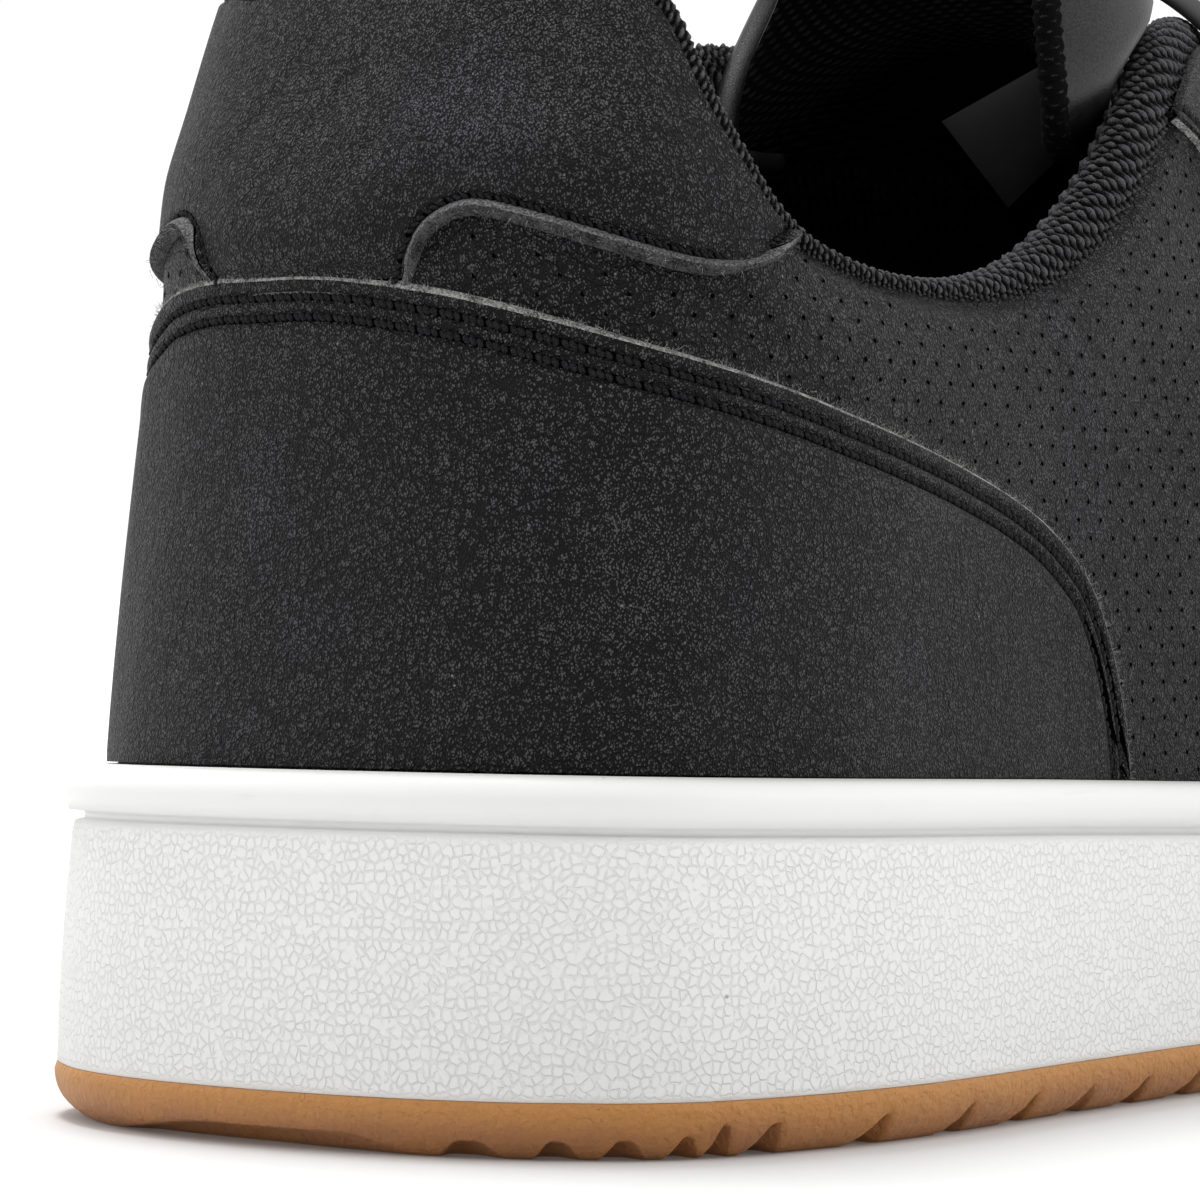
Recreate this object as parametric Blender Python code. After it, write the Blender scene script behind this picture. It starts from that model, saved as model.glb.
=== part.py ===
"""Low court sneaker for the right foot: a black leather upper on a white cupsole with a gum outsole.

Sizes are in millimetres, counted along X from the back of the heel, and are turned into metres
in a frame whose origin is on the floor, midway along the length. The toe points to +X, +Z is up
and the outer side of the foot is at -Y.
"""
import math
from collections import namedtuple

import bmesh
import bpy
from mathutils import Vector

# Driving sizes
LENGTH = 300.0
METRES = 0.001
GAP = 0.3
TOE_SPRING = 11.0
SPRING_START = 205.0
GUM_TOP = 4.5
LINER_FLOOR_THICKNESS = 4.2
CUP_WALL = 5.0
UPPER_WALL = 2.0
UPPER_TUCK = 1.0
OVERLAY_THICKNESS = 1.2
BEAD_HEIGHT = 5.0
BAND_SLANT = 1.4

# The sole's outline, heel to toe: the point on the spine that each section faces, and its two edge points
Station = namedtuple("Station", "name spine_x spine_y lateral_x lateral_y medial_x medial_y")
STATIONS = (
    Station("heel back", 36, 0, 0, 2.4, 0, 2.4),
    Station("heel flat", 36, 0, 0.6, -13.2, 2.6, 18.0),
    Station("heel corner", 36, 0, 4.6, -25.6, 8.4, 29.8),
    Station("heel quarter", 36, 0, 13.2, -34.8, 18.2, 37.4),
    Station("heel side", 36, 0, 34.4, -40.2, 39.0, 40.0),
    Station("collar dip", 64, 0, 64, -40.0, 64, 39.2),
    Station("top eyelet", 95, 0, 95, -40.0, 95, 38.0),
    Station("waist", 127, 0.3, 127, -42.8, 127, 38.0),
    Station("instep", 160, 0.7, 160, -48.6, 160, 41.2),
    Station("throat end", 190, 1.2, 190, -52.6, 190, 47.2),
    Station("ball", 217, 1.6, 217, -54.5, 217, 52.8),
    Station("toe side", 243, 2, 243, -52.2, 243, 54.5),
    Station("toe corner", 243, 2, 276, -40.8, 273, 46.0),
    Station("toe front", 243, 2, 294, -20.0, 292.4, 29.0),
    Station("toe tip", 243, 2, 300, 5, 300, 5),
)
TIP = len(STATIONS) - 1

# The upper's section at each station: how far in from the outline and how high the side's two
# shaping points are, the crown where the two sides would meet, and how much higher the inner side is
Section = namedtuple("Section", "belly_in belly_z shoulder_in shoulder_z crown_part crown_z inner_rise")
SECTIONS = (
    Section(5.6, 50, 7.4, 82, 0.55, 108, 0),
    Section(5.6, 50, 7.4, 82, 0.55, 108, 0),
    Section(5.6, 50, 7.4, 82, 0.55, 108, 0),
    Section(5.7, 50, 7.8, 82, 0.54, 108, 0),
    Section(5.8, 50, 8.6, 80, 0.53, 108, 2),
    Section(5.6, 48, 8.6, 79, 0.52, 110, 6),
    Section(5.5, 46, 8.0, 95, 0.45, 112, 6),
    Section(5.4, 44, 8.0, 109, 0.0, 105, 3),
    Section(5.2, 42, 12.0, 92, 0.0, 88, 0),
    Section(5.0, 38, 14.0, 75, 0.0, 73, 0),
    Section(5.0, 36, 14.5, 61.5, 0.0, 62, 0),
    Section(5.0, 36, 14.0, 52.5, 0.0, 54.5, 0),
    Section(5.2, 40, 14.0, 51, 0.0, 54.5, 0),
    Section(5.4, 43, 15.0, 49.5, 0.0, 54.5, 0),
    Section(5.4, 44, 16.0, 49, 0.0, 54.5, 0),
)

# Heights along the length, each row a place and a height
SOLE_TOP = ((0, 31.2), (60, 29.4), (100, 28.0), (150, 26.6), (210, 25.6), (300, 25.6))
CUP_FLOOR = ((0, 12.0), (120, 11.0), (210, 9.5), (300, 9.5))

# Heights of the leather edges, each row a station number and a height
OUTER_COLLAR = (
    (0, 94.8), (1.3, 94.8), (2.2, 96.2), (2.8, 95.4), (3.08, 92.8), (3.28, 86.7), (3.47, 82.0), (3.68, 77.6),
    (3.95, 74.8), (4.3, 72.5), (4.7, 71.7), (5.0, 72.0), (5.25, 73.2), (5.47, 75.4), (5.67, 78.6), (5.86, 82.6),
    (6.06, 87.5), (6.26, 92.6), (6.45, 97.0), (6.65, 103), (7, 114),
)
INNER_COLLAR = (
    (0, 94.8), (1.3, 94.8), (2.2, 96.2), (2.9, 95.8), (3.45, 92.5), (4.1, 87.5), (4.6, 85.5), (5.0, 86.0),
    (5.5, 89.5), (6.1, 95.8), (6.5, 101.5), (6.7, 107), (7, 118),
)
COUNTER_EDGE = (
    (0, 72.6), (0.5, 71.9), (0.9, 71.4), (1.5, 70.2), (2.5, 67.6), (3.4, 64.9), (4.0, 62.4), (4.48, 59.6),
    (4.94, 56.2), (5.25, 53.0), (5.44, 49.7), (5.56, 46.3), (5.65, 41.1), (5.72, 33.5),
)
PANEL_EDGE = (
    (0.97, 72.0), (1.03, 73.4), (1.1, 74.9), (1.2, 76.0), (1.37, 76.9), (1.55, 77.2), (1.83, 76.7), (2.55, 74.7),
    (3.23, 72.8), (3.5, 72.3), (3.66, 72.4), (3.82, 72.9), (3.96, 73.9), (4.07, 75.2), (4.14, 76.4),
)
BACK_SEAM = -0.25
STRIP_END = 0.97

# Throat, lacing and tongue
THROAT_START = 110.0
THROAT_END = 206.0
THROAT_HALF_TOP = 22.0
THROAT_HALF_END = 13.0
LACE_ROWS = 6
LACE_FIRST = 119.0
LACE_PITCH = 14.8
LACE_WIDTH = 7.0
LACE_THICKNESS = 1.6
LACE_FULL = 188.0
LACE_BEND = 0.75
LACE_REACH = 6.5
TONGUE_BOTTOM = 210.0
TONGUE_TURN = 130.0
TONGUE_HALF = ((130, 19.0), (145, 20.0), (180, 18.5), (210, 16.5))

# The tongue above the throat: the middle of each ring, half its width, how far its wings wrap back
# and drop, and its padding
Rise = namedtuple("Rise", "x z half wrap drop padding")
TONGUE_RISE = (
    Rise(121.0, 102.5, 17.0, 24.0, 16.0, 6.5),
    Rise(114.0, 106.0, 18.6, 19.5, 12.5, 7.0),
    Rise(109.0, 112.5, 21.5, 16.5, 10.5, 7.0),
    Rise(105.5, 119.0, 25.0, 15.5, 8.5, 7.0),
    Rise(103.5, 124.0, 25.5, 14.5, 7.5, 5.5),
    Rise(102.5, 126.5, 24.0, 13.5, 7.0, 3.0),
)

# Outsole lugs
GROOVE_FIRST = 16.0
GROOVE_PITCH = 10.6
GROOVE_COUNT = 26
GROOVE_WIDTH = 2.6
GROOVE_DEPTH = 1.8
GROOVE_SWEEP = 9.0

Finish = namedtuple("Finish", "red green blue roughness")
FINISHES = {
    "gum rubber": Finish(0.52, 0.24, 0.08, 0.45),
    "white rubber": Finish(0.86, 0.86, 0.85, 0.5),
    "black leather": Finish(0.022, 0.022, 0.027, 0.48),
    "black knit": Finish(0.012, 0.012, 0.013, 0.9),
    "black lace": Finish(0.014, 0.014, 0.015, 0.8),
}


# Curves through the tables

def through(before, start, end, after, part):
    """A smooth curve from start to end that also minds the values on both sides of them."""
    return 0.5 * (
        2 * start
        + (end - before) * part
        + (2 * before - 5 * start + 4 * end - after) * part ** 2
        + (3 * start - before - 3 * end + after) * part ** 3
    )


def flow(table, place):
    """The height at a place, on a smooth curve through the table's rows."""
    last = len(table) - 1
    if place <= table[0][0]:
        return table[0][1]
    if place >= table[last][0]:
        return table[last][1]
    row = max(k for k in range(last) if table[k][0] <= place)

    def slope(k):
        low, high = max(k - 1, 0), min(k + 1, last)
        return (table[high][1] - table[low][1]) / (table[high][0] - table[low][0])

    (start, low_value), (end, high_value) = table[row], table[row + 1]
    width = end - start
    part = (place - start) / width
    return (
        (2 * part ** 3 - 3 * part ** 2 + 1) * low_value
        + (part ** 3 - 2 * part ** 2 + part) * width * slope(row)
        + (3 * part ** 2 - 2 * part ** 3) * high_value
        + (part ** 3 - part ** 2) * width * slope(row + 1)
    )


def along(around, values):
    """A column of the section table at a fractional station, mirrored past the heel and the tip."""
    row = min(int(around), TIP - 1)

    def at(k):
        k = abs(k)
        return values[2 * TIP - k if k > TIP else k]

    return through(at(row - 1), at(row), at(row + 1), at(row + 2), around - row)


# The last: positive station numbers run along the outer side, negative ones along the inner side

def edge_point(row):
    row %= 2 * TIP
    if row <= TIP:
        return STATIONS[row].lateral_x, STATIONS[row].lateral_y
    station = STATIONS[2 * TIP - row]
    return station.medial_x, station.medial_y


def outline(around):
    around %= 2 * TIP
    row = int(math.floor(around))
    points = [edge_point(row + k) for k in (-1, 0, 1, 2)]
    return [through(*(point[axis] for point in points), around - row) for axis in (0, 1)]


def spine(around):
    row = min(int(around), TIP - 1)
    part = around - row
    start, end = STATIONS[row], STATIONS[row + 1]
    return (
        start.spine_x + (end.spine_x - start.spine_x) * part,
        start.spine_y + (end.spine_y - start.spine_y) * part,
    )


Ray = namedtuple("Ray", "x y out_x out_y reach")


def ray(around):
    """From the spine out to the outline at a station."""
    edge_x, edge_y = outline(around)
    spine_x, spine_y = spine(abs(around))
    reach = math.hypot(edge_x - spine_x, edge_y - spine_y)
    return Ray(spine_x, spine_y, (edge_x - spine_x) / reach, (edge_y - spine_y) / reach, reach)


def lift(x):
    """How far the toe spring raises the sole off the floor."""
    return TOE_SPRING * max(0.0, (x - SPRING_START) / (LENGTH - SPRING_START)) ** 2


def sole_top(x):
    return flow(SOLE_TOP, x) + lift(x)


def cup_floor(x):
    return flow(CUP_FLOOR, x) + lift(x)


def upper_section(around):
    """The four shaping points of the upper's side, as radius from the spine and height."""
    line = ray(around)
    columns = (along(abs(around), [getattr(row, name) for row in SECTIONS]) for name in Section._fields)
    belly_in, belly_z, shoulder_in, shoulder_z, crown_part, crown_z, inner_rise = columns
    rise = inner_rise if around < 0 else 0.0
    foot_z = sole_top(line.x + line.out_x * line.reach) - UPPER_TUCK
    return (
        (line.reach - CUP_WALL - GAP, foot_z),
        (line.reach - belly_in, belly_z),
        (line.reach - shoulder_in, shoulder_z + rise),
        (max(crown_part, 0.0) * line.reach, crown_z),
    )


def blend(points, part):
    rest = 1 - part
    weights = (rest ** 3, 3 * rest ** 2 * part, 3 * rest * part ** 2, part ** 3)
    return tuple(sum(weight * point[axis] for weight, point in zip(weights, points)) for axis in (0, 1))


def upper_point(around, part, out=0.0):
    """A point on the upper's side, 0 at the sole and 1 at the crown, moved out along the section's normal."""
    line = ray(around)
    points = upper_section(around)
    radius, z = blend(points, part)
    below, above = blend(points, part - 0.01), blend(points, part + 0.01)
    run, rise = above[0] - below[0], above[1] - below[1]
    size = math.hypot(run, rise)
    radius += out * rise / size
    z -= out * run / size
    return Vector((line.x + line.out_x * radius, line.y + line.out_y * radius, z))


def part_where(around, axis, value):
    """Where on the side the section reaches a radius (axis 0, falling) or a height (axis 1, rising)."""
    points = upper_section(around)
    low, high = 0.0, 1.0
    for _ in range(40):
        middle = (low + high) / 2
        reached = blend(points, middle)[axis]
        if (reached < value) if axis else (reached > value):
            low = middle
        else:
            high = middle
    return low


def throat_half(x):
    part = (x - THROAT_START) / (THROAT_END - THROAT_START)
    half = THROAT_HALF_TOP + (THROAT_HALF_END - THROAT_HALF_TOP) * part
    bend = min(1.0, max(0.0, (x - THROAT_END + THROAT_HALF_END) / THROAT_HALF_END))
    return half * math.sqrt(1 - bend ** 2)


def collar_edge(around):
    return flow(OUTER_COLLAR if around > 0 else INNER_COLLAR, abs(around))


def upper_top(around):
    """Where the side ends: at the collar, at the throat or, past it, at the ridge."""
    x = spine(abs(around))[0]
    collar = part_where(around, 1, collar_edge(around)) if abs(around) < 7 else 1.0
    throat = part_where(around, 0, throat_half(x)) if THROAT_START < x < THROAT_END else 1.0
    return min(collar, throat)


def from_seam(around):
    """Stations from the back seam, which lies a little to the inner side; both sides meet the sole alike."""
    if around >= BACK_SEAM:
        return around - BACK_SEAM
    evened = min(1.0, max(0.0, (-around - 1.2) / 2.6))
    return -around + BACK_SEAM - 2 * BACK_SEAM * evened


def beside_seam(sides):
    """Station numbers on both sides of the back seam for a list of distances from it."""
    inner = []
    for place in sides[:0:-1]:
        low, high = -TIP, BACK_SEAM
        for _ in range(40):
            middle = (low + high) / 2
            if from_seam(middle) > place:
                low = middle
            else:
                high = middle
        inner.append(low)
    return inner + [place + BACK_SEAM for place in sides]


def counter_edge(around):
    return flow(COUNTER_EDGE, from_seam(around))


def panel_edge(around):
    """The collar panel's lower edge: down to the counter on the back strip, arched beside it."""
    low = counter_edge(around) + OVERLAY_THICKNESS
    return low if from_seam(around) < STRIP_END else max(low, flow(PANEL_EDGE, from_seam(around)))


# Building meshes

def spread(*runs):
    """Values over several runs of start, end and number of steps, with the last end."""
    values = []
    for start, end, steps in runs:
        values += [start + (end - start) * k / steps for k in range(steps)]
    return values + [runs[-1][1]]


AROUND = spread((-TIP, -11, 10), (-11, -5, 14), (-5, 0, 20), (0, 5, 20), (5, 11, 14), (11, TIP, 10))


def middle_of_outline():
    edge = [outline(around) for around in AROUND]
    spans = [[point[axis] for point in edge] for axis in (0, 1)]
    return Vector([(min(span) + max(span)) / 2 for span in spans] + [0])


MIDDLE = middle_of_outline()


def placed(point):
    return (Vector(point) - MIDDLE) * METRES


def skinned(columns, closed_rows=False):
    """A mesh of quads over columns of points, welded where points meet."""
    bm = bmesh.new()
    rows = [[bm.verts.new(placed(point)) for point in column] for column in columns]
    for left, right in zip(rows, rows[1:]):
        count = len(left)
        for k in range(count if closed_rows else count - 1):
            bm.faces.new((left[k], right[k], right[(k + 1) % count], left[(k + 1) % count]))
    bmesh.ops.remove_doubles(bm, verts=bm.verts, dist=1e-6)
    return bm


def capped(columns):
    """A closed solid through rings of points, its two ends filled across."""
    bm = skinned(columns, closed_rows=True)
    edges = [edge for edge in bm.edges if edge.is_boundary]
    bmesh.ops.holes_fill(bm, edges=edges, sides=0)
    return bm


def finished(name, bm, finish):
    bmesh.ops.recalc_face_normals(bm, faces=bm.faces)
    if bm.calc_volume(signed=True) < 0:
        bmesh.ops.reverse_faces(bm, faces=bm.faces)
    mesh = bpy.data.meshes.new(name)
    bm.to_mesh(mesh)
    bm.free()
    mesh.shade_smooth()
    mesh.set_sharp_from_angle(angle=math.radians(40))
    look = FINISHES[finish]
    material = bpy.data.materials.new(f"{name} {finish}")
    material.use_nodes = True
    shader = material.node_tree.nodes["Principled BSDF"]
    shader.inputs["Base Color"].default_value = (look.red, look.green, look.blue, 1)
    shader.inputs["Roughness"].default_value = look.roughness
    mesh.materials.append(material)
    piece = bpy.data.objects.new(name, mesh)
    bpy.context.scene.collection.objects.link(piece)
    return piece


def faced_out(bm):
    """Turns an open sheet so that its faces look away from the spine."""
    looking = sum(face.normal.y * face.calc_center_median().y * face.calc_area() for face in bm.faces)
    if looking < 0:
        bmesh.ops.reverse_faces(bm, faces=bm.faces)


def walled(name, columns, thickness, offset, finish):
    """An open sheet given a wall, inwards with offset -1 and outwards with offset 1."""
    bm = skinned(columns)
    bm.normal_update()
    bmesh.ops.recalc_face_normals(bm, faces=bm.faces)
    faced_out(bm)
    mesh = bpy.data.meshes.new(name)
    bm.to_mesh(mesh)
    bm.free()
    holder = bpy.data.objects.new(name + " sheet", mesh)
    bpy.context.scene.collection.objects.link(holder)
    wall = holder.modifiers.new("wall", "SOLIDIFY")
    wall.thickness = thickness * METRES
    wall.offset = offset
    wall.use_even_offset = True
    bpy.context.view_layer.update()
    solid = bmesh.new()
    solid.from_object(holder, bpy.context.evaluated_depsgraph_get())
    bpy.data.objects.remove(holder)
    return finished(name, solid, finish)


# The sole

def sole_layer(name, profile, finish):
    """A solid inside the outline. The profile gives each station's points as an inset and a height;
    an inset of None lies on the spine."""
    columns = []
    for around in AROUND:
        line = ray(around)
        column = []
        for inset, height in profile:
            radius = 0.0 if inset is None else line.reach - inset
            x, y = line.x + line.out_x * radius, line.y + line.out_y * radius
            column.append((x, y, height(x)))
        columns.append(column)
    return finished(name, skinned(columns), finish)


def at_height(z):
    return lambda x: z + lift(x)


def below_top(drop):
    return lambda x: sole_top(x) - drop


def above_floor(rise):
    return lambda x: cup_floor(x) + rise


def make_outsole():
    profile = (
        (None, at_height(0)), (1.9, at_height(0)), (0.8, at_height(0.4)), (0.2, at_height(1.2)),
        (0.0, at_height(2.4)), (0.0, at_height(GUM_TOP)), (None, at_height(GUM_TOP)),
    )
    outsole = sole_layer("outsole", profile, "gum rubber")
    cutter = outsole.modifiers.new("lugs", "BOOLEAN")
    cutter.object = make_groove_cutters()
    cutter.operation = "DIFFERENCE"
    cutter.solver = "EXACT"


def make_groove_cutters():
    """Chevron bars across the tread, one closed body each."""
    bm = bmesh.new()
    side = 60.0
    for k in range(GROOVE_COUNT):
        middle = GROOVE_FIRST + GROOVE_PITCH * k
        rim = []
        for shift in (-GROOVE_WIDTH / 2, GROOVE_WIDTH / 2):
            row = [(middle + shift + GROOVE_SWEEP * abs(v), v * side) for v in (-1, 0, 1)]
            rim += row if shift < 0 else row[::-1]
        low = [bm.verts.new(placed((x, y, lift(x) - 2.0))) for x, y in rim]
        high = [bm.verts.new(placed((x, y, lift(x) + GROOVE_DEPTH))) for x, y in rim]
        count = len(rim)
        for i in range(count // 2 - 1):
            bm.faces.new((low[i], low[i + 1], low[count - 2 - i], low[count - 1 - i]))
            bm.faces.new((high[i], high[i + 1], high[count - 2 - i], high[count - 1 - i]))
        for i in range(count):
            bm.faces.new((low[i], low[(i + 1) % count], high[(i + 1) % count], high[i]))
    cutters = finished("lug cutters", bm, "gum rubber")
    cutters.hide_render = True
    cutters.display_type = "WIRE"
    return cutters


def make_midsole():
    groove = BEAD_HEIGHT
    profile = (
        (None, at_height(GUM_TOP + GAP)), (0.2, at_height(GUM_TOP + GAP)), (0.0, at_height(GUM_TOP + 0.8)),
        (BAND_SLANT / 2, lambda x: (sole_top(x) + lift(x)) / 2), (BAND_SLANT, below_top(groove + 0.3)),
        (BAND_SLANT + 1.0, below_top(groove)), (BAND_SLANT + 1.0, below_top(groove - 0.7)),
        (0.9, below_top(groove - 1.0)), (0.7, below_top(2.2)), (1.3, below_top(0.8)), (2.6, below_top(0.1)),
        (CUP_WALL, below_top(0)), (CUP_WALL, above_floor(0)), (None, above_floor(0)),
    )
    sole_layer("midsole", profile, "white rubber")


def make_insole():
    edge = CUP_WALL + GAP + UPPER_WALL + 2 * GAP
    profile = (
        (None, above_floor(GAP)), (edge, above_floor(GAP)), (edge, above_floor(GAP + 3.0)),
        (edge + 1.4, above_floor(GAP + LINER_FLOOR_THICKNESS)), (None, above_floor(GAP + LINER_FLOOR_THICKNESS)),
    )
    sole_layer("insole", profile, "black knit")


# The upper and what is sewn on it

SIDE = spread((0, 3, 8), (3, 4, 5), (4, 6, 6), (6, 7, 8), (7, 9, 4), (9, 9.4, 2), (9.4, 9.592, 3), (9.592, 10, 2), (10, TIP, 9))


def make_upper():
    columns = []
    rows = 7
    for around in [-place for place in SIDE[:0:-1]] + SIDE:
        line = ray(around)
        radius = line.reach - CUP_WALL - GAP
        x, y = line.x + line.out_x * radius, line.y + line.out_y * radius
        column = [Vector((x, y, cup_floor(x) + GAP))]
        top = upper_top(around)
        column += [upper_point(around, top * k / rows) for k in range(rows + 1)]
        columns.append(column)
    walled("upper", columns, UPPER_WALL, -1, "black leather")


def overlay(name, stations, low_z, high_z, rows):
    """A patch of leather lying just off the upper between two edge lines."""
    columns = []
    for around in stations:
        low = part_where(around, 1, low_z(around))
        high = part_where(around, 1, high_z(around))
        columns.append([upper_point(around, low + (high - low) * k / rows, GAP) for k in range(rows + 1)])
    walled(name, columns, OVERLAY_THICKNESS, 1, "black leather")


def make_heel_counter():
    front = COUNTER_EDGE[-1][0]
    sides = spread((0, 4.4, 11), (4.4, 5.2, 4), (5.2, front, 5))

    def bead(around):
        line = ray(around)
        return sole_top(line.x + line.out_x * line.reach) + GAP

    overlay("heel_counter", beside_seam(sides), bead, counter_edge, 3)


def make_collar_panel():
    sides = spread((0, STRIP_END - 0.02, 2), (STRIP_END, 1.5, 5), (1.5, 3.2, 6), (3.2, 4.06, 6))

    def collar(around):
        return collar_edge(around) - GAP

    overlay("collar_panel", beside_seam(sides), panel_edge, collar, 3)


def make_collar_lining():
    """A padded band inside the collar whose rolled top stands above the leather edge."""
    end = 6.3
    loop = (
        (0.0, -24), (0.0, -9), (0.0, 0.3), (0.15, 1.7), (0.5, 2.3), (0.85, 1.5), (1.0, -1.0), (0.95, -9), (0.4, -24),
    )
    columns = []
    for around in spread((-end, -4.8, 7), (-4.8, 0, 15), (0, 4.8, 15), (4.8, end, 7)):
        edge = collar_edge(around)
        padding = flow(((0, 7.0), (3, 7.0), (5, 4.6), (end, 2.2)), abs(around))
        ring = []
        for inward, rise in loop:
            part = part_where(around, 1, edge + rise)
            ring.append(upper_point(around, part, -UPPER_WALL - GAP - padding * inward))
        columns.append(ring)
    finished("collar_lining", capped(columns), "black knit")


def station_at(x):
    """The station whose section faces the spine at x, ahead of the heel."""
    row = max(k for k in range(TIP) if STATIONS[k].spine_x <= x)
    start, end = STATIONS[row].spine_x, STATIONS[row + 1].spine_x
    return row + (x - start) / (end - start)


def throat_point(x, across, out):
    """A point over the throat, by its place along the spine and its signed distance across."""
    station = station_at(x)
    around = station if across < 0 else -station
    crown_radius = upper_section(around)[3][0]
    part = part_where(around, 0, max(abs(across), crown_radius))
    point = upper_point(around, part, out)
    if abs(across) < crown_radius:
        point.y = spine(station)[1] + across
    return point


def make_tongue():
    """A padded tongue under the throat whose wings wrap back round the ankle above it."""
    across = [k / 5 for k in range(-5, 6)]
    columns = []
    for x in spread((TONGUE_BOTTOM, TONGUE_TURN, 9)):
        grown = (TONGUE_BOTTOM - x) / (TONGUE_BOTTOM - TONGUE_TURN)
        columns.append(tongue_ring(x, across, flow(TONGUE_HALF, x), 3.5 + 3.0 * grown))
    columns += [risen_ring(rise, across) for rise in TONGUE_RISE]
    finished("tongue", capped(columns), "black leather")


def risen_ring(rise, across):
    front, back = [], []
    for share in across:
        side = abs(share)
        point = Vector((rise.x - rise.wrap * side ** 2, rise.half * share, rise.z - rise.drop * side ** 2))
        thick = 1.5 + (rise.padding - 1.5) * (1 - side ** 4)
        inward = Vector((-0.75 + 0.35 * side, -0.6 * share, -0.65 + 0.35 * side))
        front.append(point)
        back.append(point + inward * thick)
    return front + back[::-1]


def tongue_ring(x, across, half, padding):
    near_collar = max(0.0, min(1.0, (152 - x) / 20))
    upper_side, lower_side = [], []
    for share in across:
        place = share * half
        tucked = max(0.0, min(1.0, (abs(place) - throat_half(min(x, 192)) + 4) / 5))
        under_vamp = max(0.0, (x - 186) / 20)
        depth = UPPER_WALL + 1.0 + 3.6 * tucked * near_collar + under_vamp
        thick = 1.2 + (padding - 1.2) * (1 - abs(share) ** 4)
        upper_side.append(throat_point(x, place, -depth))
        lower_side.append(throat_point(x, place, -depth - thick))
    return upper_side + lower_side[::-1]


def lace_point(x, share, out):
    """A point on a bar of lace: across the throat, then over its edge and down to the eyelet."""
    half = throat_half(min(x, LACE_FULL))
    if abs(share) <= LACE_BEND:
        return throat_point(x, half * share / LACE_BEND, out)
    below = LACE_REACH * (abs(share) - LACE_BEND) / (1 - LACE_BEND)
    around = station_at(x) * (1 if share < 0 else -1)
    part = part_where(around, 0, half)
    edge = upper_point(around, part)
    while (upper_point(around, part) - edge).length < below:
        part -= 0.002
    return upper_point(around, part, out)


def make_laces():
    """One flat bar of lace across each pair of eyelets."""
    half_width, half_thickness = LACE_WIDTH / 2, LACE_THICKNESS / 2
    loop = ((-1, 0), (-0.8, 0.8), (0, 1), (0.8, 0.8), (1, 0), (0.8, -0.8), (0, -1), (-0.8, -0.8))
    for k in range(LACE_ROWS):
        x = LACE_FIRST + LACE_PITCH * k
        columns = []
        for share in (step / 4 for step in range(-4, 5)):
            ring = []
            for along_shoe, up in loop:
                out = 0.5 + half_thickness + up * half_thickness
                ring.append(lace_point(x + along_shoe * half_width, share, out))
            columns.append(ring)
        finished(f"lace_bar_{k + 1}", capped(columns), "black lace")


def main():
    for old in list(bpy.data.objects):
        bpy.data.objects.remove(old)
    make_outsole()
    make_midsole()
    make_insole()
    make_upper()
    make_heel_counter()
    make_collar_panel()
    make_collar_lining()
    make_tongue()
    make_laces()


main()
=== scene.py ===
"""Looks of a low black leather court sneaker on a white cupsole with a gum tread.

Sizes in the tables are millimetres counted along X from the back of the heel, as on the maker's last.
Positive station numbers run along the outer side of the shoe and negative ones along the inner side.
"""
import math
from collections import namedtuple

import bmesh
import bpy
import numpy as np
from mathutils import Matrix, Vector


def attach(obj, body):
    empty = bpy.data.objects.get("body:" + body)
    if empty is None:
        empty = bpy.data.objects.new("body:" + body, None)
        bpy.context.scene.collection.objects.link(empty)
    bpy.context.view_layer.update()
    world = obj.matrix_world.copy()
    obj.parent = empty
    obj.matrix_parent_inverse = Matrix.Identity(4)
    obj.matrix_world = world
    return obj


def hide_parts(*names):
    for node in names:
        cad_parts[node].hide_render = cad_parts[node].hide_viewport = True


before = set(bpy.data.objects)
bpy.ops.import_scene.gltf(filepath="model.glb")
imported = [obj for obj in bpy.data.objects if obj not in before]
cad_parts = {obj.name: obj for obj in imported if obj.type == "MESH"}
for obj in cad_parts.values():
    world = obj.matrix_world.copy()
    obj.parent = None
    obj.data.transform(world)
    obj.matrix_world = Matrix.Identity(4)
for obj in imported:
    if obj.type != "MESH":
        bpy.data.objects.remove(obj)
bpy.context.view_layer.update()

bl_info = {
    "name": "Court sneaker looks",
    "version": (1, 0, 0),
    "blender": (4, 5, 0),
    "location": "View3D > Sidebar > Sneaker",
    "description": "Builds the leather, knit, rubber and laces of a low court sneaker on its packed frame",
    "category": "Object",
}

METRES = 0.001
LENGTH = 300.0
TOE_SPRING = 11.0
SPRING_START = 205.0
GUM_TOP = 4.5
CUP_WALL = 5.0
FOOT_GAP = 0.3
UPPER_TUCK = 1.0
UPPER_WALL = 2.0
BEAD_HEIGHT = 5.0
BAND_SLANT = 1.4
THROAT_START = 110.0
THROAT_END = 206.0
THROAT_HALF_TOP = 22.0
THROAT_HALF_END = 13.0
BACK_SEAM = -0.25
COLLAR_LAST = 7
COLLAR_CLIMB = 25.0

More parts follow.
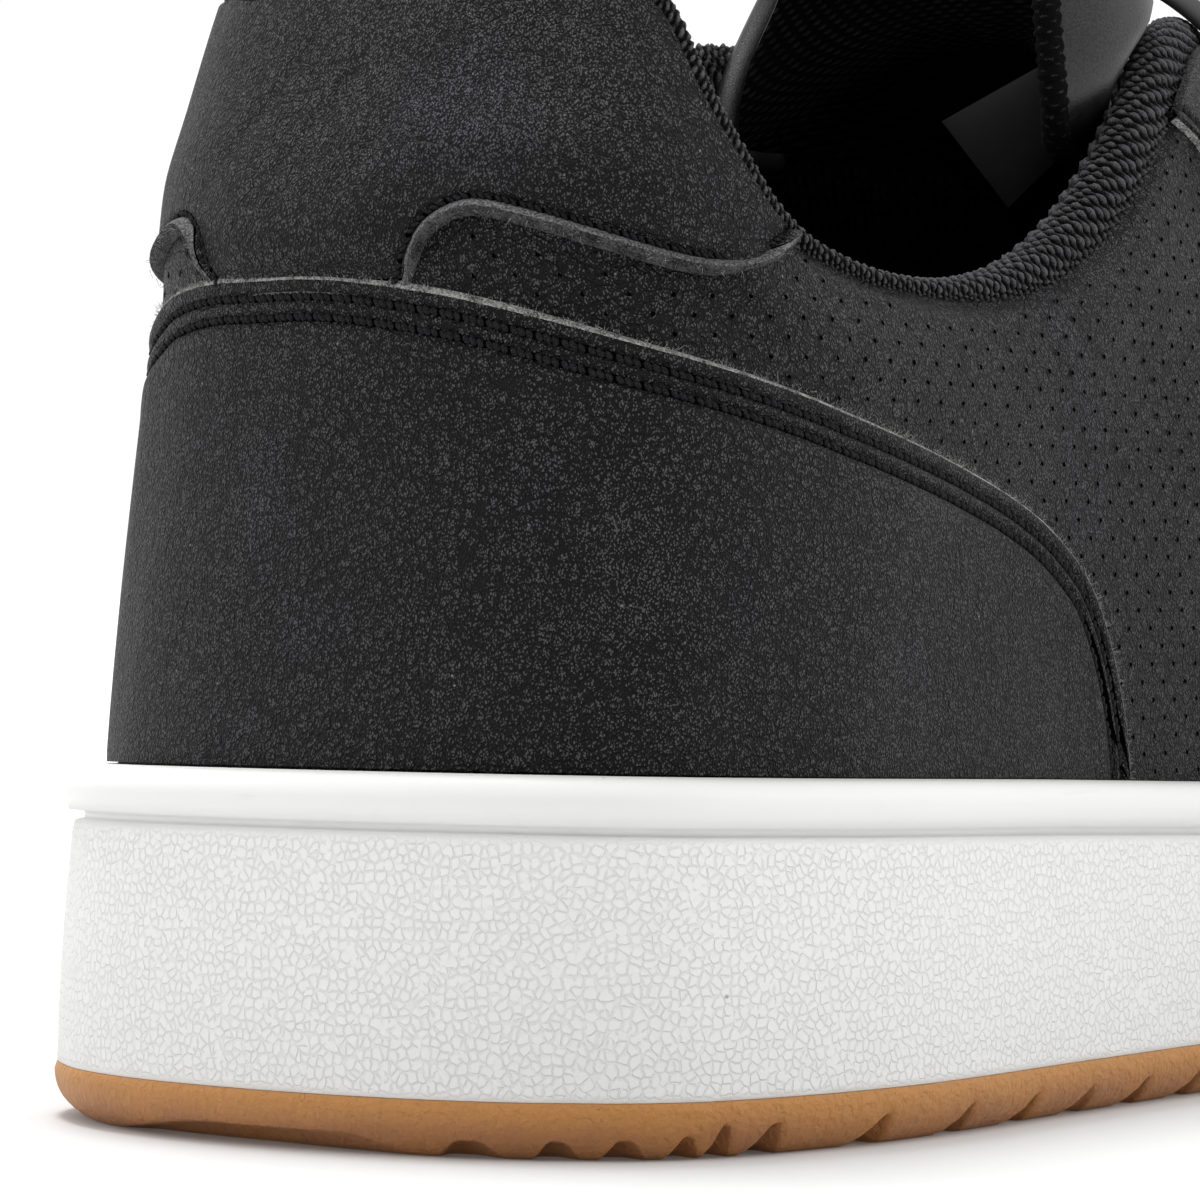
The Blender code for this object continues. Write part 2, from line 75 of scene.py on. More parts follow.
# The sole's outline, heel to toe: the point on the spine that each section faces, and its two edge points
Station = namedtuple("Station", "name spine_x spine_y lateral_x lateral_y medial_x medial_y")
STATIONS = (
    Station("heel back", 36, 0, 0, 2.4, 0, 2.4),
    Station("heel flat", 36, 0, 0.6, -13.2, 2.6, 18.0),
    Station("heel corner", 36, 0, 4.6, -25.6, 8.4, 29.8),
    Station("heel quarter", 36, 0, 13.2, -34.8, 18.2, 37.4),
    Station("heel side", 36, 0, 34.4, -40.2, 39.0, 40.0),
    Station("collar dip", 64, 0, 64, -40.0, 64, 39.2),
    Station("top eyelet", 95, 0, 95, -40.0, 95, 38.0),
    Station("waist", 127, 0.3, 127, -42.8, 127, 38.0),
    Station("instep", 160, 0.7, 160, -48.6, 160, 41.2),
    Station("throat end", 190, 1.2, 190, -52.6, 190, 47.2),
    Station("ball", 217, 1.6, 217, -54.5, 217, 52.8),
    Station("toe side", 243, 2, 243, -52.2, 243, 54.5),
    Station("toe corner", 243, 2, 276, -40.8, 273, 46.0),
    Station("toe front", 243, 2, 294, -20.0, 292.4, 29.0),
    Station("toe tip", 243, 2, 300, 5, 300, 5),
)
TIP = len(STATIONS) - 1

# The upper's section at each station: two shaping points, the crown and the inner side's extra height
Section = namedtuple("Section", "belly_in belly_z shoulder_in shoulder_z crown_part crown_z inner_rise")
SECTIONS = (
    Section(5.6, 50, 7.4, 82, 0.55, 108, 0),
    Section(5.6, 50, 7.4, 82, 0.55, 108, 0),
    Section(5.6, 50, 7.4, 82, 0.55, 108, 0),
    Section(5.7, 50, 7.8, 82, 0.54, 108, 0),
    Section(5.8, 50, 8.6, 80, 0.53, 108, 2),
    Section(5.6, 48, 8.6, 79, 0.52, 110, 6),
    Section(5.5, 46, 8.0, 95, 0.45, 112, 6),
    Section(5.4, 44, 8.0, 109, 0.0, 105, 3),
    Section(5.2, 42, 12.0, 92, 0.0, 88, 0),
    Section(5.0, 38, 14.0, 75, 0.0, 73, 0),
    Section(5.0, 36, 14.5, 61.5, 0.0, 62, 0),
    Section(5.0, 36, 14.0, 52.5, 0.0, 54.5, 0),
    Section(5.2, 40, 14.0, 51, 0.0, 54.5, 0),
    Section(5.4, 43, 15.0, 49.5, 0.0, 54.5, 0),
    Section(5.4, 44, 16.0, 49, 0.0, 54.5, 0),
)

# Heights along the length, each row a place and a height
SOLE_TOP = ((0, 31.2), (60, 29.4), (100, 28.0), (150, 26.6), (210, 25.6), (300, 25.6))
CUP_FLOOR = ((0, 12.0), (120, 11.0), (210, 9.5), (300, 9.5))

# Heights of the leather edges, each row a station number and a height
OUTER_COLLAR = (
    (0, 96.2), (1.3, 96.2), (2.2, 96.8), (2.8, 95.4), (3.08, 92.8), (3.28, 86.7), (3.47, 82.0),
    (3.68, 77.6), (3.95, 74.8), (4.3, 72.5), (4.7, 71.7), (5.0, 72.0), (5.25, 73.2), (5.47, 75.4),
    (5.67, 78.6), (5.86, 82.6), (6.06, 87.5), (6.26, 92.4), (6.45, 95.8), (6.62, 98.0), (6.8, 99.4),
    (7, 100.4),
)
INNER_COLLAR = (
    (0, 96.2), (1.3, 96.2), (2.2, 96.8), (2.9, 95.8), (3.45, 92.5), (4.1, 87.5), (4.6, 85.5),
    (5.0, 86.0), (5.5, 89.5), (6.1, 95.8), (6.5, 101.5), (6.7, 107), (7, 118),
)
COUNTER_EDGE = (
    (0, 72.5), (0.3, 72.3), (0.6, 71.9), (0.9, 71.4), (1.5, 70.2), (2.5, 67.6), (3.4, 64.9),
    (4.0, 62.4), (4.48, 59.6), (4.94, 56.2), (5.25, 53.0), (5.44, 49.7), (5.56, 46.3), (5.65, 41.1),
    (5.72, 33.5), (5.74, 27.0),
)
# How much higher the counter's edge stays on the inner side, each row a station number and a distance
COUNTER_INNER = (
    (0, 0.0), (0.4, 0.3), (0.9, 1.1), (1.4, 1.7), (2.0, 2.2), (3.0, 1.4), (4.0, 0.4), (5.0, 0.0),
)
PANEL_EDGE = (
    (0.93, 70.6), (0.97, 72.0), (1.03, 73.4), (1.1, 74.9), (1.2, 76.0), (1.37, 76.9), (1.55, 77.2),
    (1.83, 76.7), (2.55, 74.7), (3.23, 72.8), (3.5, 72.3), (3.66, 72.4), (3.82, 72.9), (3.96, 73.9),
    (4.07, 75.2), (4.14, 76.4),
)

# How far the heel's back leans in, each row a height and a distance
HEEL_LEAN = (
    (32, 0.0), (46, 1.4), (56, 2.1), (66, 2.1), (71, 1.2), (76, 0.1), (82, 0.4), (88, 1.2),
    (96, 1.5), (104, 1.6),
)

# How the hollow across the vamp is filled, where the toe's sections meet: slope, length and width
VAMP_FILL = 0.078
VAMP_SOFT = 10.0
VAMP_WIDE = 20.0

# How far the knit stands above the leather along the collar, each row a station number and a height
KNIT_RISE = (
    (0, 1.8), (1.5, 1.8), (2.9, 2.6), (3.6, 2.0), (4.0, 1.2), (4.6, 1.1), (5.0, 2.0), (5.5, 3.8),
    (6.0, 4.8), (6.35, 4.6), (6.65, 3.7), (6.95, 2.9),
)
KNIT_PUSH = ((0, 0.9), (3.5, 1.0), (4.1, 0.1), (6.95, 0.0))

# The tongue above the throat: middle, half width, how far the wings wrap back and drop, and its padding
Rise = namedtuple("Rise", "x z half wrap drop padding")
TONGUE_RISE = (
    Rise(119.0, 102.5, 25.0, 24.0, 16.0, 6.5),
    Rise(116.0, 106.0, 29.0, 26.0, 16.0, 7.0),
    Rise(113.5, 112.5, 29.0, 25.0, 13.5, 7.0),
    Rise(111.0, 119.0, 28.5, 23.0, 11.0, 7.0),
    Rise(109.0, 124.0, 28.0, 21.0, 9.0, 5.5),
    Rise(108.0, 126.5, 26.0, 19.5, 8.0, 3.0),
)
TONGUE_CURL = 0.25
TONGUE_PUFF = 3.0
TONGUE_CORNER = 5.0
TONGUE_RECESS = 6.0
TONGUE_BOTTOM = 210.0
TONGUE_TURN = 130.0
TONGUE_HALF = ((130, 19.0), (145, 20.0), (180, 18.5), (210, 16.5))

# How much of the tongue's inner half is left above the throat and how wide it is, each by rung and share
TONGUE_INNER = ((0, 1.0), (1, 0.86), (2, 0.59), (3, 0.52), (4, 0.5), (5, 0.5))
TONGUE_INNER_HALF = ((0, 0.76), (1, 0.71), (2, 0.80), (3, 0.82), (4, 0.82), (5, 0.82))

LACE_ROWS = 6
LACE_FIRST = 122.0
LACE_PITCH = 14.2
LACE_FULL = 188.0
LACE_STEP = 0.6


# Curves through the tables

def through(before, start, end, after, part):
    """A smooth curve from start to end that also minds the values on both sides of them."""
    return 0.5 * (
        2 * start
        + (end - before) * part
        + (2 * before - 5 * start + 4 * end - after) * part ** 2
        + (3 * start - before - 3 * end + after) * part ** 3
    )


def flow(table, place):
    """Heights at some places, on a smooth curve through the table's rows."""
    places, heights = np.array(table, float).T
    slopes = np.gradient(heights, places)
    slopes[1:-1] = (heights[2:] - heights[:-2]) / (places[2:] - places[:-2])
    place = np.clip(place, places[0], places[-1])
    row = np.clip(np.searchsorted(places, place, side="right") - 1, 0, len(places) - 2)
    width = places[row + 1] - places[row]
    part = (place - places[row]) / width
    return (
        (2 * part ** 3 - 3 * part ** 2 + 1) * heights[row]
        + (part ** 3 - 2 * part ** 2 + part) * width * slopes[row]
        + (3 * part ** 2 - 2 * part ** 3) * heights[row + 1]
        + (part ** 3 - part ** 2) * width * slopes[row + 1]
    )


def along(place, values):
    """A column of the section table at fractional stations, mirrored past the heel and the tip."""
    values = np.array(values, float)
    row = np.minimum(place.astype(int), TIP - 1)

    def at(k):
        k = np.abs(k)
        return values[np.where(k > TIP, 2 * TIP - k, k)]

    return through(at(row - 1), at(row), at(row + 1), at(row + 2), place - row)


def smooth(low, high, value):
    """Rises from 0 at low to 1 at high, or falls if high is the lower one."""
    part = np.clip((value - low) / (high - low), 0, 1)
    return part * part * (3 - 2 * part)


def hump(value, middle, half):
    """A soft ridge of height 1 over a place."""
    return np.exp(-((value - middle) / half) ** 2)


def smoothed(rows, times, weight=1):
    """Evens rows of values in place; the first and the last row stay."""
    for _ in range(times):
        rows[1:-1] = (rows[:-2] + weight * rows[1:-1] + rows[2:]) / (weight + 2)


def together(*parts):
    """Coordinates side by side, as points."""
    return np.stack(np.broadcast_arrays(*parts), -1)


def unit(vectors):
    return vectors / np.maximum(np.linalg.norm(vectors, axis=-1), 1e-9)[..., None]


def path_lengths(path):
    """Length along a path up to each of its points."""
    return np.concatenate([[0], np.cumsum(np.linalg.norm(np.diff(path, axis=0), axis=1))])


def spread(*runs):
    """Values over several runs of start, end and number of steps, with the last end."""
    values = [np.linspace(start, end, steps, endpoint=False) for start, end, steps in runs]
    return np.concatenate(values + [[runs[-1][1]]])


# The last

EDGE = np.array(
    [(row.lateral_x, row.lateral_y) for row in STATIONS]
    + [(row.medial_x, row.medial_y) for row in STATIONS[TIP - 1:0:-1]],
    float,
)
Ray = namedtuple("Ray", "x y out_x out_y reach")


def outline(around):
    place = np.mod(around, 2 * TIP)
    row = np.floor(place).astype(int)
    corners = [EDGE[(row + k) % (2 * TIP)] for k in (-1, 0, 1, 2)]
    return through(*corners, (place - row)[..., None])


def spine(around):
    rows = np.arange(TIP + 1)
    place = np.abs(around)
    return (
        np.interp(place, rows, [row.spine_x for row in STATIONS]),
        np.interp(place, rows, [row.spine_y for row in STATIONS]),
    )


def ray(around):
    """From the spine out to the outline at stations."""
    edge = outline(around)
    x, y = spine(around)
    reach = np.hypot(edge[..., 0] - x, edge[..., 1] - y)
    return Ray(x, y, (edge[..., 0] - x) / reach, (edge[..., 1] - y) / reach, reach)


def inset_from(line, inset):
    """Where rays are that far inside the outline."""
    radius = line.reach - inset
    return line.x + line.out_x * radius, line.y + line.out_y * radius


def lift(x):
    """How far the toe spring raises the sole off the floor."""
    return TOE_SPRING * np.maximum(0, (x - SPRING_START) / (LENGTH - SPRING_START)) ** 2


def sole_top(x):
    return flow(SOLE_TOP, x) + lift(x)


def cup_floor(x):
    return flow(CUP_FLOOR, x) + lift(x)


def bead_at(around):
    """The height of the sole's top edge at stations."""
    return sole_top(outline(around)[..., 0])


def section(around):
    """The four shaping points of the upper's side, as radii from the spine and heights."""
    line = ray(around)
    place = np.abs(around)
    belly_in, belly_z, shoulder_in, shoulder_z, crown_part, crown_z, inner_rise = (
        along(place, [getattr(row, name) for row in SECTIONS]) for name in Section._fields
    )
    rise = np.where(around < 0, inner_rise, 0)
    foot_z = sole_top(line.x + line.out_x * line.reach) - UPPER_TUCK
    radii = (
        line.reach - CUP_WALL - FOOT_GAP, line.reach - belly_in, line.reach - shoulder_in,
        np.maximum(crown_part, 0) * line.reach,
    )
    return line, radii, (foot_z, belly_z, shoulder_z + rise, crown_z)


def blend(points, part):
    rest = 1 - part
    weights = (rest ** 3, 3 * rest ** 2 * part, 3 * rest * part ** 2, part ** 3)
    return sum(weight * point for weight, point in zip(weights, points))


def upper_at(around, part, out=0.0):
    """Points on the upper's side, 0 at the sole and 1 at the crown, moved out along the section's normal."""
    around, part, out = np.broadcast_arrays(np.asarray(around, float), part, out)
    line, radii, heights = section(around)
    step = 0.01
    run = blend(radii, part + step) - blend(radii, part - step)
    rise = blend(heights, part + step) - blend(heights, part - step)
    size = np.hypot(run, rise)
    z = blend(heights, part)
    lean = flow(HEEL_LEAN, z) * smooth(3.6, 1.6, np.abs(around))
    radius = blend(radii, part) + out * rise / size - lean
    z = z - out * run / size
    x, y = line.x + line.out_x * radius, line.y + line.out_y * radius
    ahead = x - STATIONS[TIP].spine_x
    filled = VAMP_FILL * (np.hypot(ahead, VAMP_SOFT) - np.abs(ahead))
    return together(x, y, z + filled * hump(y, STATIONS[TIP].spine_y, VAMP_WIDE))


def part_where(around, axis, value):
    """Where on the side the section reaches a radius (axis 0, falling) or a height (axis 1, rising)."""
    around, value = np.broadcast_arrays(np.asarray(around, float), value)
    points = section(around)[1 + axis]
    low, high = np.zeros(around.shape), np.ones(around.shape)
    for _ in range(30):
        middle = (low + high) / 2
        reached = blend(points, middle)
        short = (reached < value) if axis else (reached > value)
        low, high = np.where(short, middle, low), np.where(short, high, middle)
    return low


def throat_half(x):
    part = (x - THROAT_START) / (THROAT_END - THROAT_START)
    half = THROAT_HALF_TOP + (THROAT_HALF_END - THROAT_HALF_TOP) * part
    bend = np.clip((x - THROAT_END + THROAT_HALF_END) / THROAT_HALF_END, 0, 1)
    return half * np.sqrt(1 - bend ** 2)


def collar_edge(around):
    place = np.abs(around)
    past = COLLAR_CLIMB * np.maximum(0, place - COLLAR_LAST)
    return np.where(around > 0, flow(OUTER_COLLAR, place) + past, flow(INNER_COLLAR, place))


def upper_top(around):
    """Where the side ends: at the collar, at the throat or, past it, at the ridge."""
    x = spine(around)[0]
    collar = np.where(np.abs(around) < 7.2, part_where(around, 1, collar_edge(around)), 1)
    throat = np.where((x > THROAT_START) & (x < THROAT_END), part_where(around, 0, throat_half(x)), 1)
    return np.minimum(collar, throat)


def from_seam(around):
    """Stations from the back seam, which lies a little to the inner side; both sides meet the sole alike."""
    evened = np.clip((-around - 1.2) / 2.6, 0, 1)
    inner = -around + BACK_SEAM - 2 * BACK_SEAM * evened
    return np.where(around >= BACK_SEAM, around - BACK_SEAM, inner)


# The side as a flat sheet: length along it from the heel back, and height

SIDE_STATIONS = np.linspace(-TIP, TIP, 2801)
SIDE_INSET = 8.0
CHUNK = 4000


def side_lengths():
    lengths = path_lengths(together(*inset_from(ray(SIDE_STATIONS), SIDE_INSET)))
    return lengths - np.interp(0, SIDE_STATIONS, lengths)


SIDE_LENGTHS = side_lengths()
SEAM_DISTANCE = from_seam(SIDE_STATIONS)


def length_at(around):
    return np.interp(around, SIDE_STATIONS, SIDE_LENGTHS)


def station_of(length):
    return np.interp(length, SIDE_LENGTHS, SIDE_STATIONS)


def beside_seam(signed):
    """Stations at signed distances from the back seam, negative on the inner side."""
    inner = SIDE_STATIONS <= BACK_SEAM
    left = np.interp(-signed, SEAM_DISTANCE[inner][::-1], SIDE_STATIONS[inner][::-1])
    return np.where(signed < 0, left, signed + BACK_SEAM)


def skin(flat, out=0.0):
    """Points of the upper for places on the flat sheet, moved out."""
    around = station_of(flat[..., 0])
    return upper_at(around, part_where(around, 1, flat[..., 1]), out)


def evenly(path, step):
    """A path's points, set out again at an even spacing."""
    place = path_lengths(path)
    count = max(2, int(round(place[-1] / step)) + 1)
    spots = np.linspace(0, place[-1], count)
    return together(*(np.interp(spots, place, column) for column in path.T))


def side_normals(path, to_left):
    """Unit vectors square to a flat path, to its left or right, eased round corners."""
    ahead = unit(np.gradient(path, axis=0))
    square = together(-ahead[:, 1], ahead[:, 0]) * (1 if to_left else -1)
    smoothed(square, 3, 2)
    return unit(square)


def distance_to(path, flat):
    """Distance of each flat place from the nearest point of a path."""
    spots = flat.reshape(-1, 2)
    nearest = np.empty(len(spots))
    for start in range(0, len(spots), CHUNK):
        block = spots[start:start + CHUNK]
        nearest[start:start + CHUNK] = np.sqrt(((block[:, None] - path[None]) ** 2).sum(-1)).min(1)
    return nearest.reshape(flat.shape[:-1])


def middle_of_outline():
    places = spread((-TIP, -11, 10), (-11, -5, 14), (-5, 0, 20), (0, 5, 20), (5, 11, 14), (11, TIP, 10))
    edge = outline(places)
    return np.append((edge.min(0) + edge.max(0)) / 2, 0)


MIDDLE = middle_of_outline()


def placed(points):
    return (np.asarray(points, float) - MIDDLE) * METRES


# Meshes

# A direction that no path follows, by which rings and fibres are turned
SLANTED = (0.3, 0.2, 0.93)


def grid_normals(points):
    """Unit normals over a grid of points."""
    return unit(np.cross(np.gradient(points, axis=0), np.gradient(points, axis=1)))


def sheet(name, points, looks_used, flat=None, row_looks=None, marks=None, inside=None, solid=False):
    """A piece made of a grid of quads over columns and rows of points in millimetres."""
    columns, rows = points.shape[:2]
    bm = bmesh.new()
    bmesh.ops.create_grid(bm, x_segments=columns - 1, y_segments=rows - 1, size=1)
    spots = np.array([vert.co[:2] for vert in bm.verts])
    column = np.rint((spots[:, 0] + 1) / 2 * (columns - 1)).astype(int)
    row = np.rint((spots[:, 1] + 1) / 2 * (rows - 1)).astype(int)
    for vert, point in zip(bm.verts, placed(points)[column, row]):
        vert.co = point
    if flat is not None:
        layer = bm.loops.layers.uv.new("flat")
        places = (flat * 0.01)[column, row]
        for face in bm.faces:
            for loop in face.loops:
                loop[layer].uv = places[loop.vert.index]
    if marks is not None:
        layer = bm.verts.layers.float.new("marks")
        for vert, mark in zip(bm.verts, marks[column, row]):
            vert[layer] = mark
    if row_looks is not None:
        for face in bm.faces:
            face.material_index = row_looks[min(row[vert.index] for vert in face.verts)]
    bmesh.ops.remove_doubles(bm, verts=bm.verts, dist=2e-6)
    bmesh.ops.dissolve_degenerate(bm, edges=bm.edges, dist=1e-7)
    return piece(name, bm, looks_used, inside, solid)


def ridden(name, mesh, looks_used):
    """Puts a mesh in the scene as a smooth piece that rides on the shoe."""
    mesh.shade_smooth()
    for look in looks_used:
        mesh.materials.append(look)
    made = bpy.data.objects.new(name, mesh)
    bpy.context.scene.collection.objects.link(made)
    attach(made, "root")
    return made


def piece(name, bm, looks_used, inside=None, solid=False):
    """Turns a bmesh into a piece, its faces looking away from the inside."""
    if solid:
        bmesh.ops.recalc_face_normals(bm, faces=bm.faces)
        if bm.calc_volume(signed=True) < 0:
            bmesh.ops.reverse_faces(bm, faces=bm.faces)
    elif inside is not None:
        bm.normal_update()
        turned = sum(
            face.normal.dot(face.calc_center_median() - inside(face.calc_center_median())) * face.calc_area()
            for face in bm.faces
        )
        if turned < 0:
            bmesh.ops.reverse_faces(bm, faces=bm.faces)
    mesh = bpy.data.meshes.new(name)
    bm.to_mesh(mesh)
    bm.free()
    return ridden(name, mesh, looks_used)


def template(make):
    """The corners and faces of a small shape made by a function that fills a bmesh."""
    bm = bmesh.new()
    make(bm)
    corners = np.array([vert.co[:] for vert in bm.verts])
    faces = [[vert.index for vert in face.verts] for face in bm.faces]
    slots = [face.material_index for face in bm.faces]
    bm.free()
    return corners, faces, slots


def scattered(name, shape, turns, spots, looks_used):
    """One piece of many copies of a shape, each with three axes that turn and size it, and a spot."""
    corners, faces, slots = shape
    points = np.einsum("ka,nab->nkb", corners, turns) + spots[:, None]
    count = len(corners)
    joined = [[corner + count * k for corner in face] for k in range(len(spots)) for face in faces]
    mesh = bpy.data.meshes.new(name)
    mesh.from_pydata(placed(points.reshape(-1, 3)), [], joined)
    mesh.polygons.foreach_set("material_index", np.tile(slots, len(spots)))
    return ridden(name, mesh, looks_used)


def off_spine(point):
    """The nearest place inside the shoe, for telling the outside of a side from its inside."""
    low, high = (np.array((STATIONS[k].spine_x, 0)) for k in (0, TIP))
    x = min(max(point.x / METRES + MIDDLE[0], low[0]), high[0])
    return Vector(placed((x, 0, 40)))


def tube(path, radius, sides):
    """Rings of points along a path, given in millimetres."""
    ahead = unit(np.gradient(path, axis=0))
    up = unit(np.cross(ahead, SLANTED))
    side = np.cross(ahead, up)
    turn = np.linspace(0, 2 * math.pi, sides + 1)
    radius = np.broadcast_to(radius, (len(path),))[:, None, None]
    ring = np.cos(turn)[None, :, None] * up[:, None] + np.sin(turn)[None, :, None] * side[:, None]
    return path[:, None] + ring * radius


def capped_ends(points):
    """Rings of points with their two ends drawn together, so that the tube is closed."""
    first = np.repeat(points[:1].mean(1, keepdims=True), points.shape[1], 1)
    last = np.repeat(points[-1:].mean(1, keepdims=True), points.shape[1], 1)
    return np.concatenate([first, points, last])


# Shaders

class Value:
    """A shader socket that takes part in sums and products as a number does."""

    def __init__(self, look, socket):
        self.look = look
        self.socket = socket

    def __add__(self, other):
        return self.look.maths("ADD", self, other)

    __radd__ = __add__

    def __sub__(self, other):
        return self.look.maths("SUBTRACT", self, other)

    def __rsub__(self, other):
        return self.look.maths("SUBTRACT", other, self)

    def __mul__(self, other):
        return self.look.maths("MULTIPLY", self, other)

    __rmul__ = __mul__


class Look:
    """A material under construction."""

    def __init__(self, name, roughness=0.5, **constants):
        self.material = bpy.data.materials.new(name)
        self.material.use_nodes = True
        self.tree = self.material.node_tree
        self.shader = self.tree.nodes["Principled BSDF"]
        self.shader.inputs["Roughness"].default_value = roughness
        for socket, value in constants.items():
            self.shader.inputs[socket.replace("_", " ")].default_value = value

    def node(self, kind, settings=None, inputs=None, output=0):
        """Adds a node, sets it up, fills its sockets and gives one of its outputs."""
        made = self.tree.nodes.new(kind)
        for name, value in (settings or {}).items():
            setattr(made, name, value)
        for socket, value in (inputs or {}).items():
            self.fill(made.inputs[socket], value)
        return Value(self, made.outputs[output])

    def fill(self, socket, value):
        if isinstance(value, Value):
            self.tree.links.new(value.socket, socket)
        elif socket.type == "RGBA":
            socket.default_value = (*value[:3], 1)
        else:
            socket.default_value = value

    def maths(self, operation, *values):
        return self.node("ShaderNodeMath", {"operation": operation}, dict(enumerate(values)))

    def marks(self):
        return self.node("ShaderNodeAttribute", {"attribute_name": "marks"}, output="Fac")

    def place(self):
        return self.node("ShaderNodeTexCoord", output="Object")

    def stretched(self, scale):
        return self.node("ShaderNodeMapping", None, {"Vector": self.place(), "Scale": scale})

    def flat(self):
        """The two flat coordinates of the piece, in millimetres."""
        spot = self.node("ShaderNodeUVMap", {"uv_map": "flat"})
        split = self.node("ShaderNodeSeparateXYZ", None, {"Vector": spot})
        other = Value(self, split.socket.node.outputs["Y"])
        return split * 100.0, other * 100.0

    def flat_place(self):
        """The flat coordinates of the piece as a vector in metres."""
        spot = self.node("ShaderNodeUVMap", {"uv_map": "flat"})
        return self.node("ShaderNodeVectorMath", {"operation": "SCALE"}, {0: spot, "Scale": 100 * METRES})

    def lattice(self, pitch, rows):
        """Distance in millimetres from the nearest point of a staggered lattice over the flat coordinates."""
        across, up = self.flat()
        gaps = []
        for shift_across, shift_up in ((0, 0), (pitch / 2, rows)):
            side = self.maths("PINGPONG", across + shift_across, pitch / 2)
            rise = self.maths("PINGPONG", up + shift_up, rows)
            gaps.append(self.maths("SQRT", side * side + rise * rise))
        return self.maths("MINIMUM", *gaps)

    def warped(self, reach, size, base=None):
        """Places pushed about by up to a reach, over features of a size, both in millimetres."""
        base = base or self.place()
        inputs = {"Vector": base, "Scale": 1 / (size * METRES), "Detail": 2.0}
        push = self.node("ShaderNodeTexNoise", None, inputs, output="Color")
        centred = self.node("ShaderNodeVectorMath", {"operation": "SUBTRACT"}, {0: push, 1: (0.5, 0.5, 0.5)})
        scaled = self.node(
            "ShaderNodeVectorMath", {"operation": "SCALE"}, {0: centred, "Scale": 2 * reach * METRES})
        return self.node("ShaderNodeVectorMath", {"operation": "ADD"}, {0: base, 1: scaled})

    def noise(self, size, detail=2.0, vector=None):
        """Soft noise from 0 to 1 with features of about a size in millimetres."""
        inputs = {"Vector": vector or self.place(), "Scale": 1 / (size * METRES), "Detail": detail}
        return self.node("ShaderNodeTexNoise", None, inputs)

    def cells(self, size, feature="F1", vector=None, randomness=1.0, space="3D"):
        inputs = {"Vector": vector or self.place(), "Scale": 1 / (size * METRES), "Randomness": randomness}
        return self.node("ShaderNodeTexVoronoi", {"feature": feature, "voronoi_dimensions": space}, inputs)

    def ramp(self, value, low, high):
        """Rises softly from 0 to 1 between two values."""
        return self.node(
            "ShaderNodeMapRange", {"interpolation_type": "SMOOTHSTEP"},
            {"Value": value, "From Min": low, "From Max": high},
        )

    def mix(self, factor, first, second):
        settings = {"data_type": "RGBA"}
        return self.node("ShaderNodeMix", settings, {0: factor, 6: first, 7: second}, output=2)

    def colour(self, value):
        self.fill(self.shader.inputs["Base Color"], value)

    def rough(self, value):
        self.fill(self.shader.inputs["Roughness"], value)

    def bump(self, height, depth):
        """Raises the surface by a height from 0 to 1 times a depth in millimetres."""
        inputs = {"Height": height, "Distance": depth * METRES, "Strength": 1.0}
        normal = self.node("ShaderNodeBump", None, inputs)
        self.tree.links.new(normal.socket, self.shader.inputs["Normal"])


def colour_of(name, description, default):
    return bpy.props.FloatVectorProperty(name=name, description=description, subtype="COLOR", default=default)


def length_of(name, description, default):
    return bpy.props.FloatProperty(name=name, description=description, default=default, unit="LENGTH")


class SneakerLooks(bpy.types.PropertyGroup):
    """Sizes and colours of the sneaker."""

    leather: colour_of("Leather", "Colour of the leather", (0.0012, 0.0012, 0.0014))
    # Painted highlight: the paler colour on the leather's pebble tops stands in for light catching the grain.
    painted_leather_sheen: colour_of(
        "Leather painted highlights", "Colour of the painted highlights on the leather's grain", (0.074, 0.074, 0.078))
    raw_edge: colour_of("Raw edge", "Colour of the leather's cut edges", (0.38, 0.38, 0.37))
    thread: colour_of("Thread", "Colour of the stitches", (0.0022, 0.0022, 0.0025))
    knit: colour_of("Knit", "Colour of the collar knit and lining", (0.0055, 0.0055, 0.0058))
    rubber: colour_of("Cupsole", "Colour of the white rubber", (0.83, 0.83, 0.815))
    gum: colour_of("Gum", "Colour of the gum rubber", (0.47, 0.205, 0.064))
    grain: length_of("Grain", "Size of the leather's pebbles", 0.00019)
    pebble: length_of("Pebble", "Size of the pebbles on the sole's side", 0.00088)
    stitch: length_of("Stitch", "Length of one stitch", 0.0023)
    thread_width: length_of("Thread width", "Width of the thread", 0.00072)
    hole: length_of("Hole", "Width of the perforations", 0.00046)
    hole_pitch: length_of("Hole pitch", "Distance between perforations in a row", 0.0039)
    hole_rows: length_of("Hole rows", "Distance between rows of perforations", 0.00163)


def looks():
    return bpy.context.scene.sneaker_looks


def named(name, make):
    """A material made once and then used again."""
    return bpy.data.materials.get(name) or make(name)


def shaded(colour, *parts):
    """Shades of a colour, each made by a factor."""
    return [[part * value for value in colour] for part in parts]


def speckled(look, size, detail, dark, light, ends=None, depth=0.0):
    """A look of two colours mixed by fine noise, between two ends of it, that may also raise the surface."""
    seen = look.noise(size, detail)
    look.colour(look.mix(look.ramp(seen, *ends) if ends else seen, dark, light))
    if depth:
        look.bump(seen, depth)
    return look.material


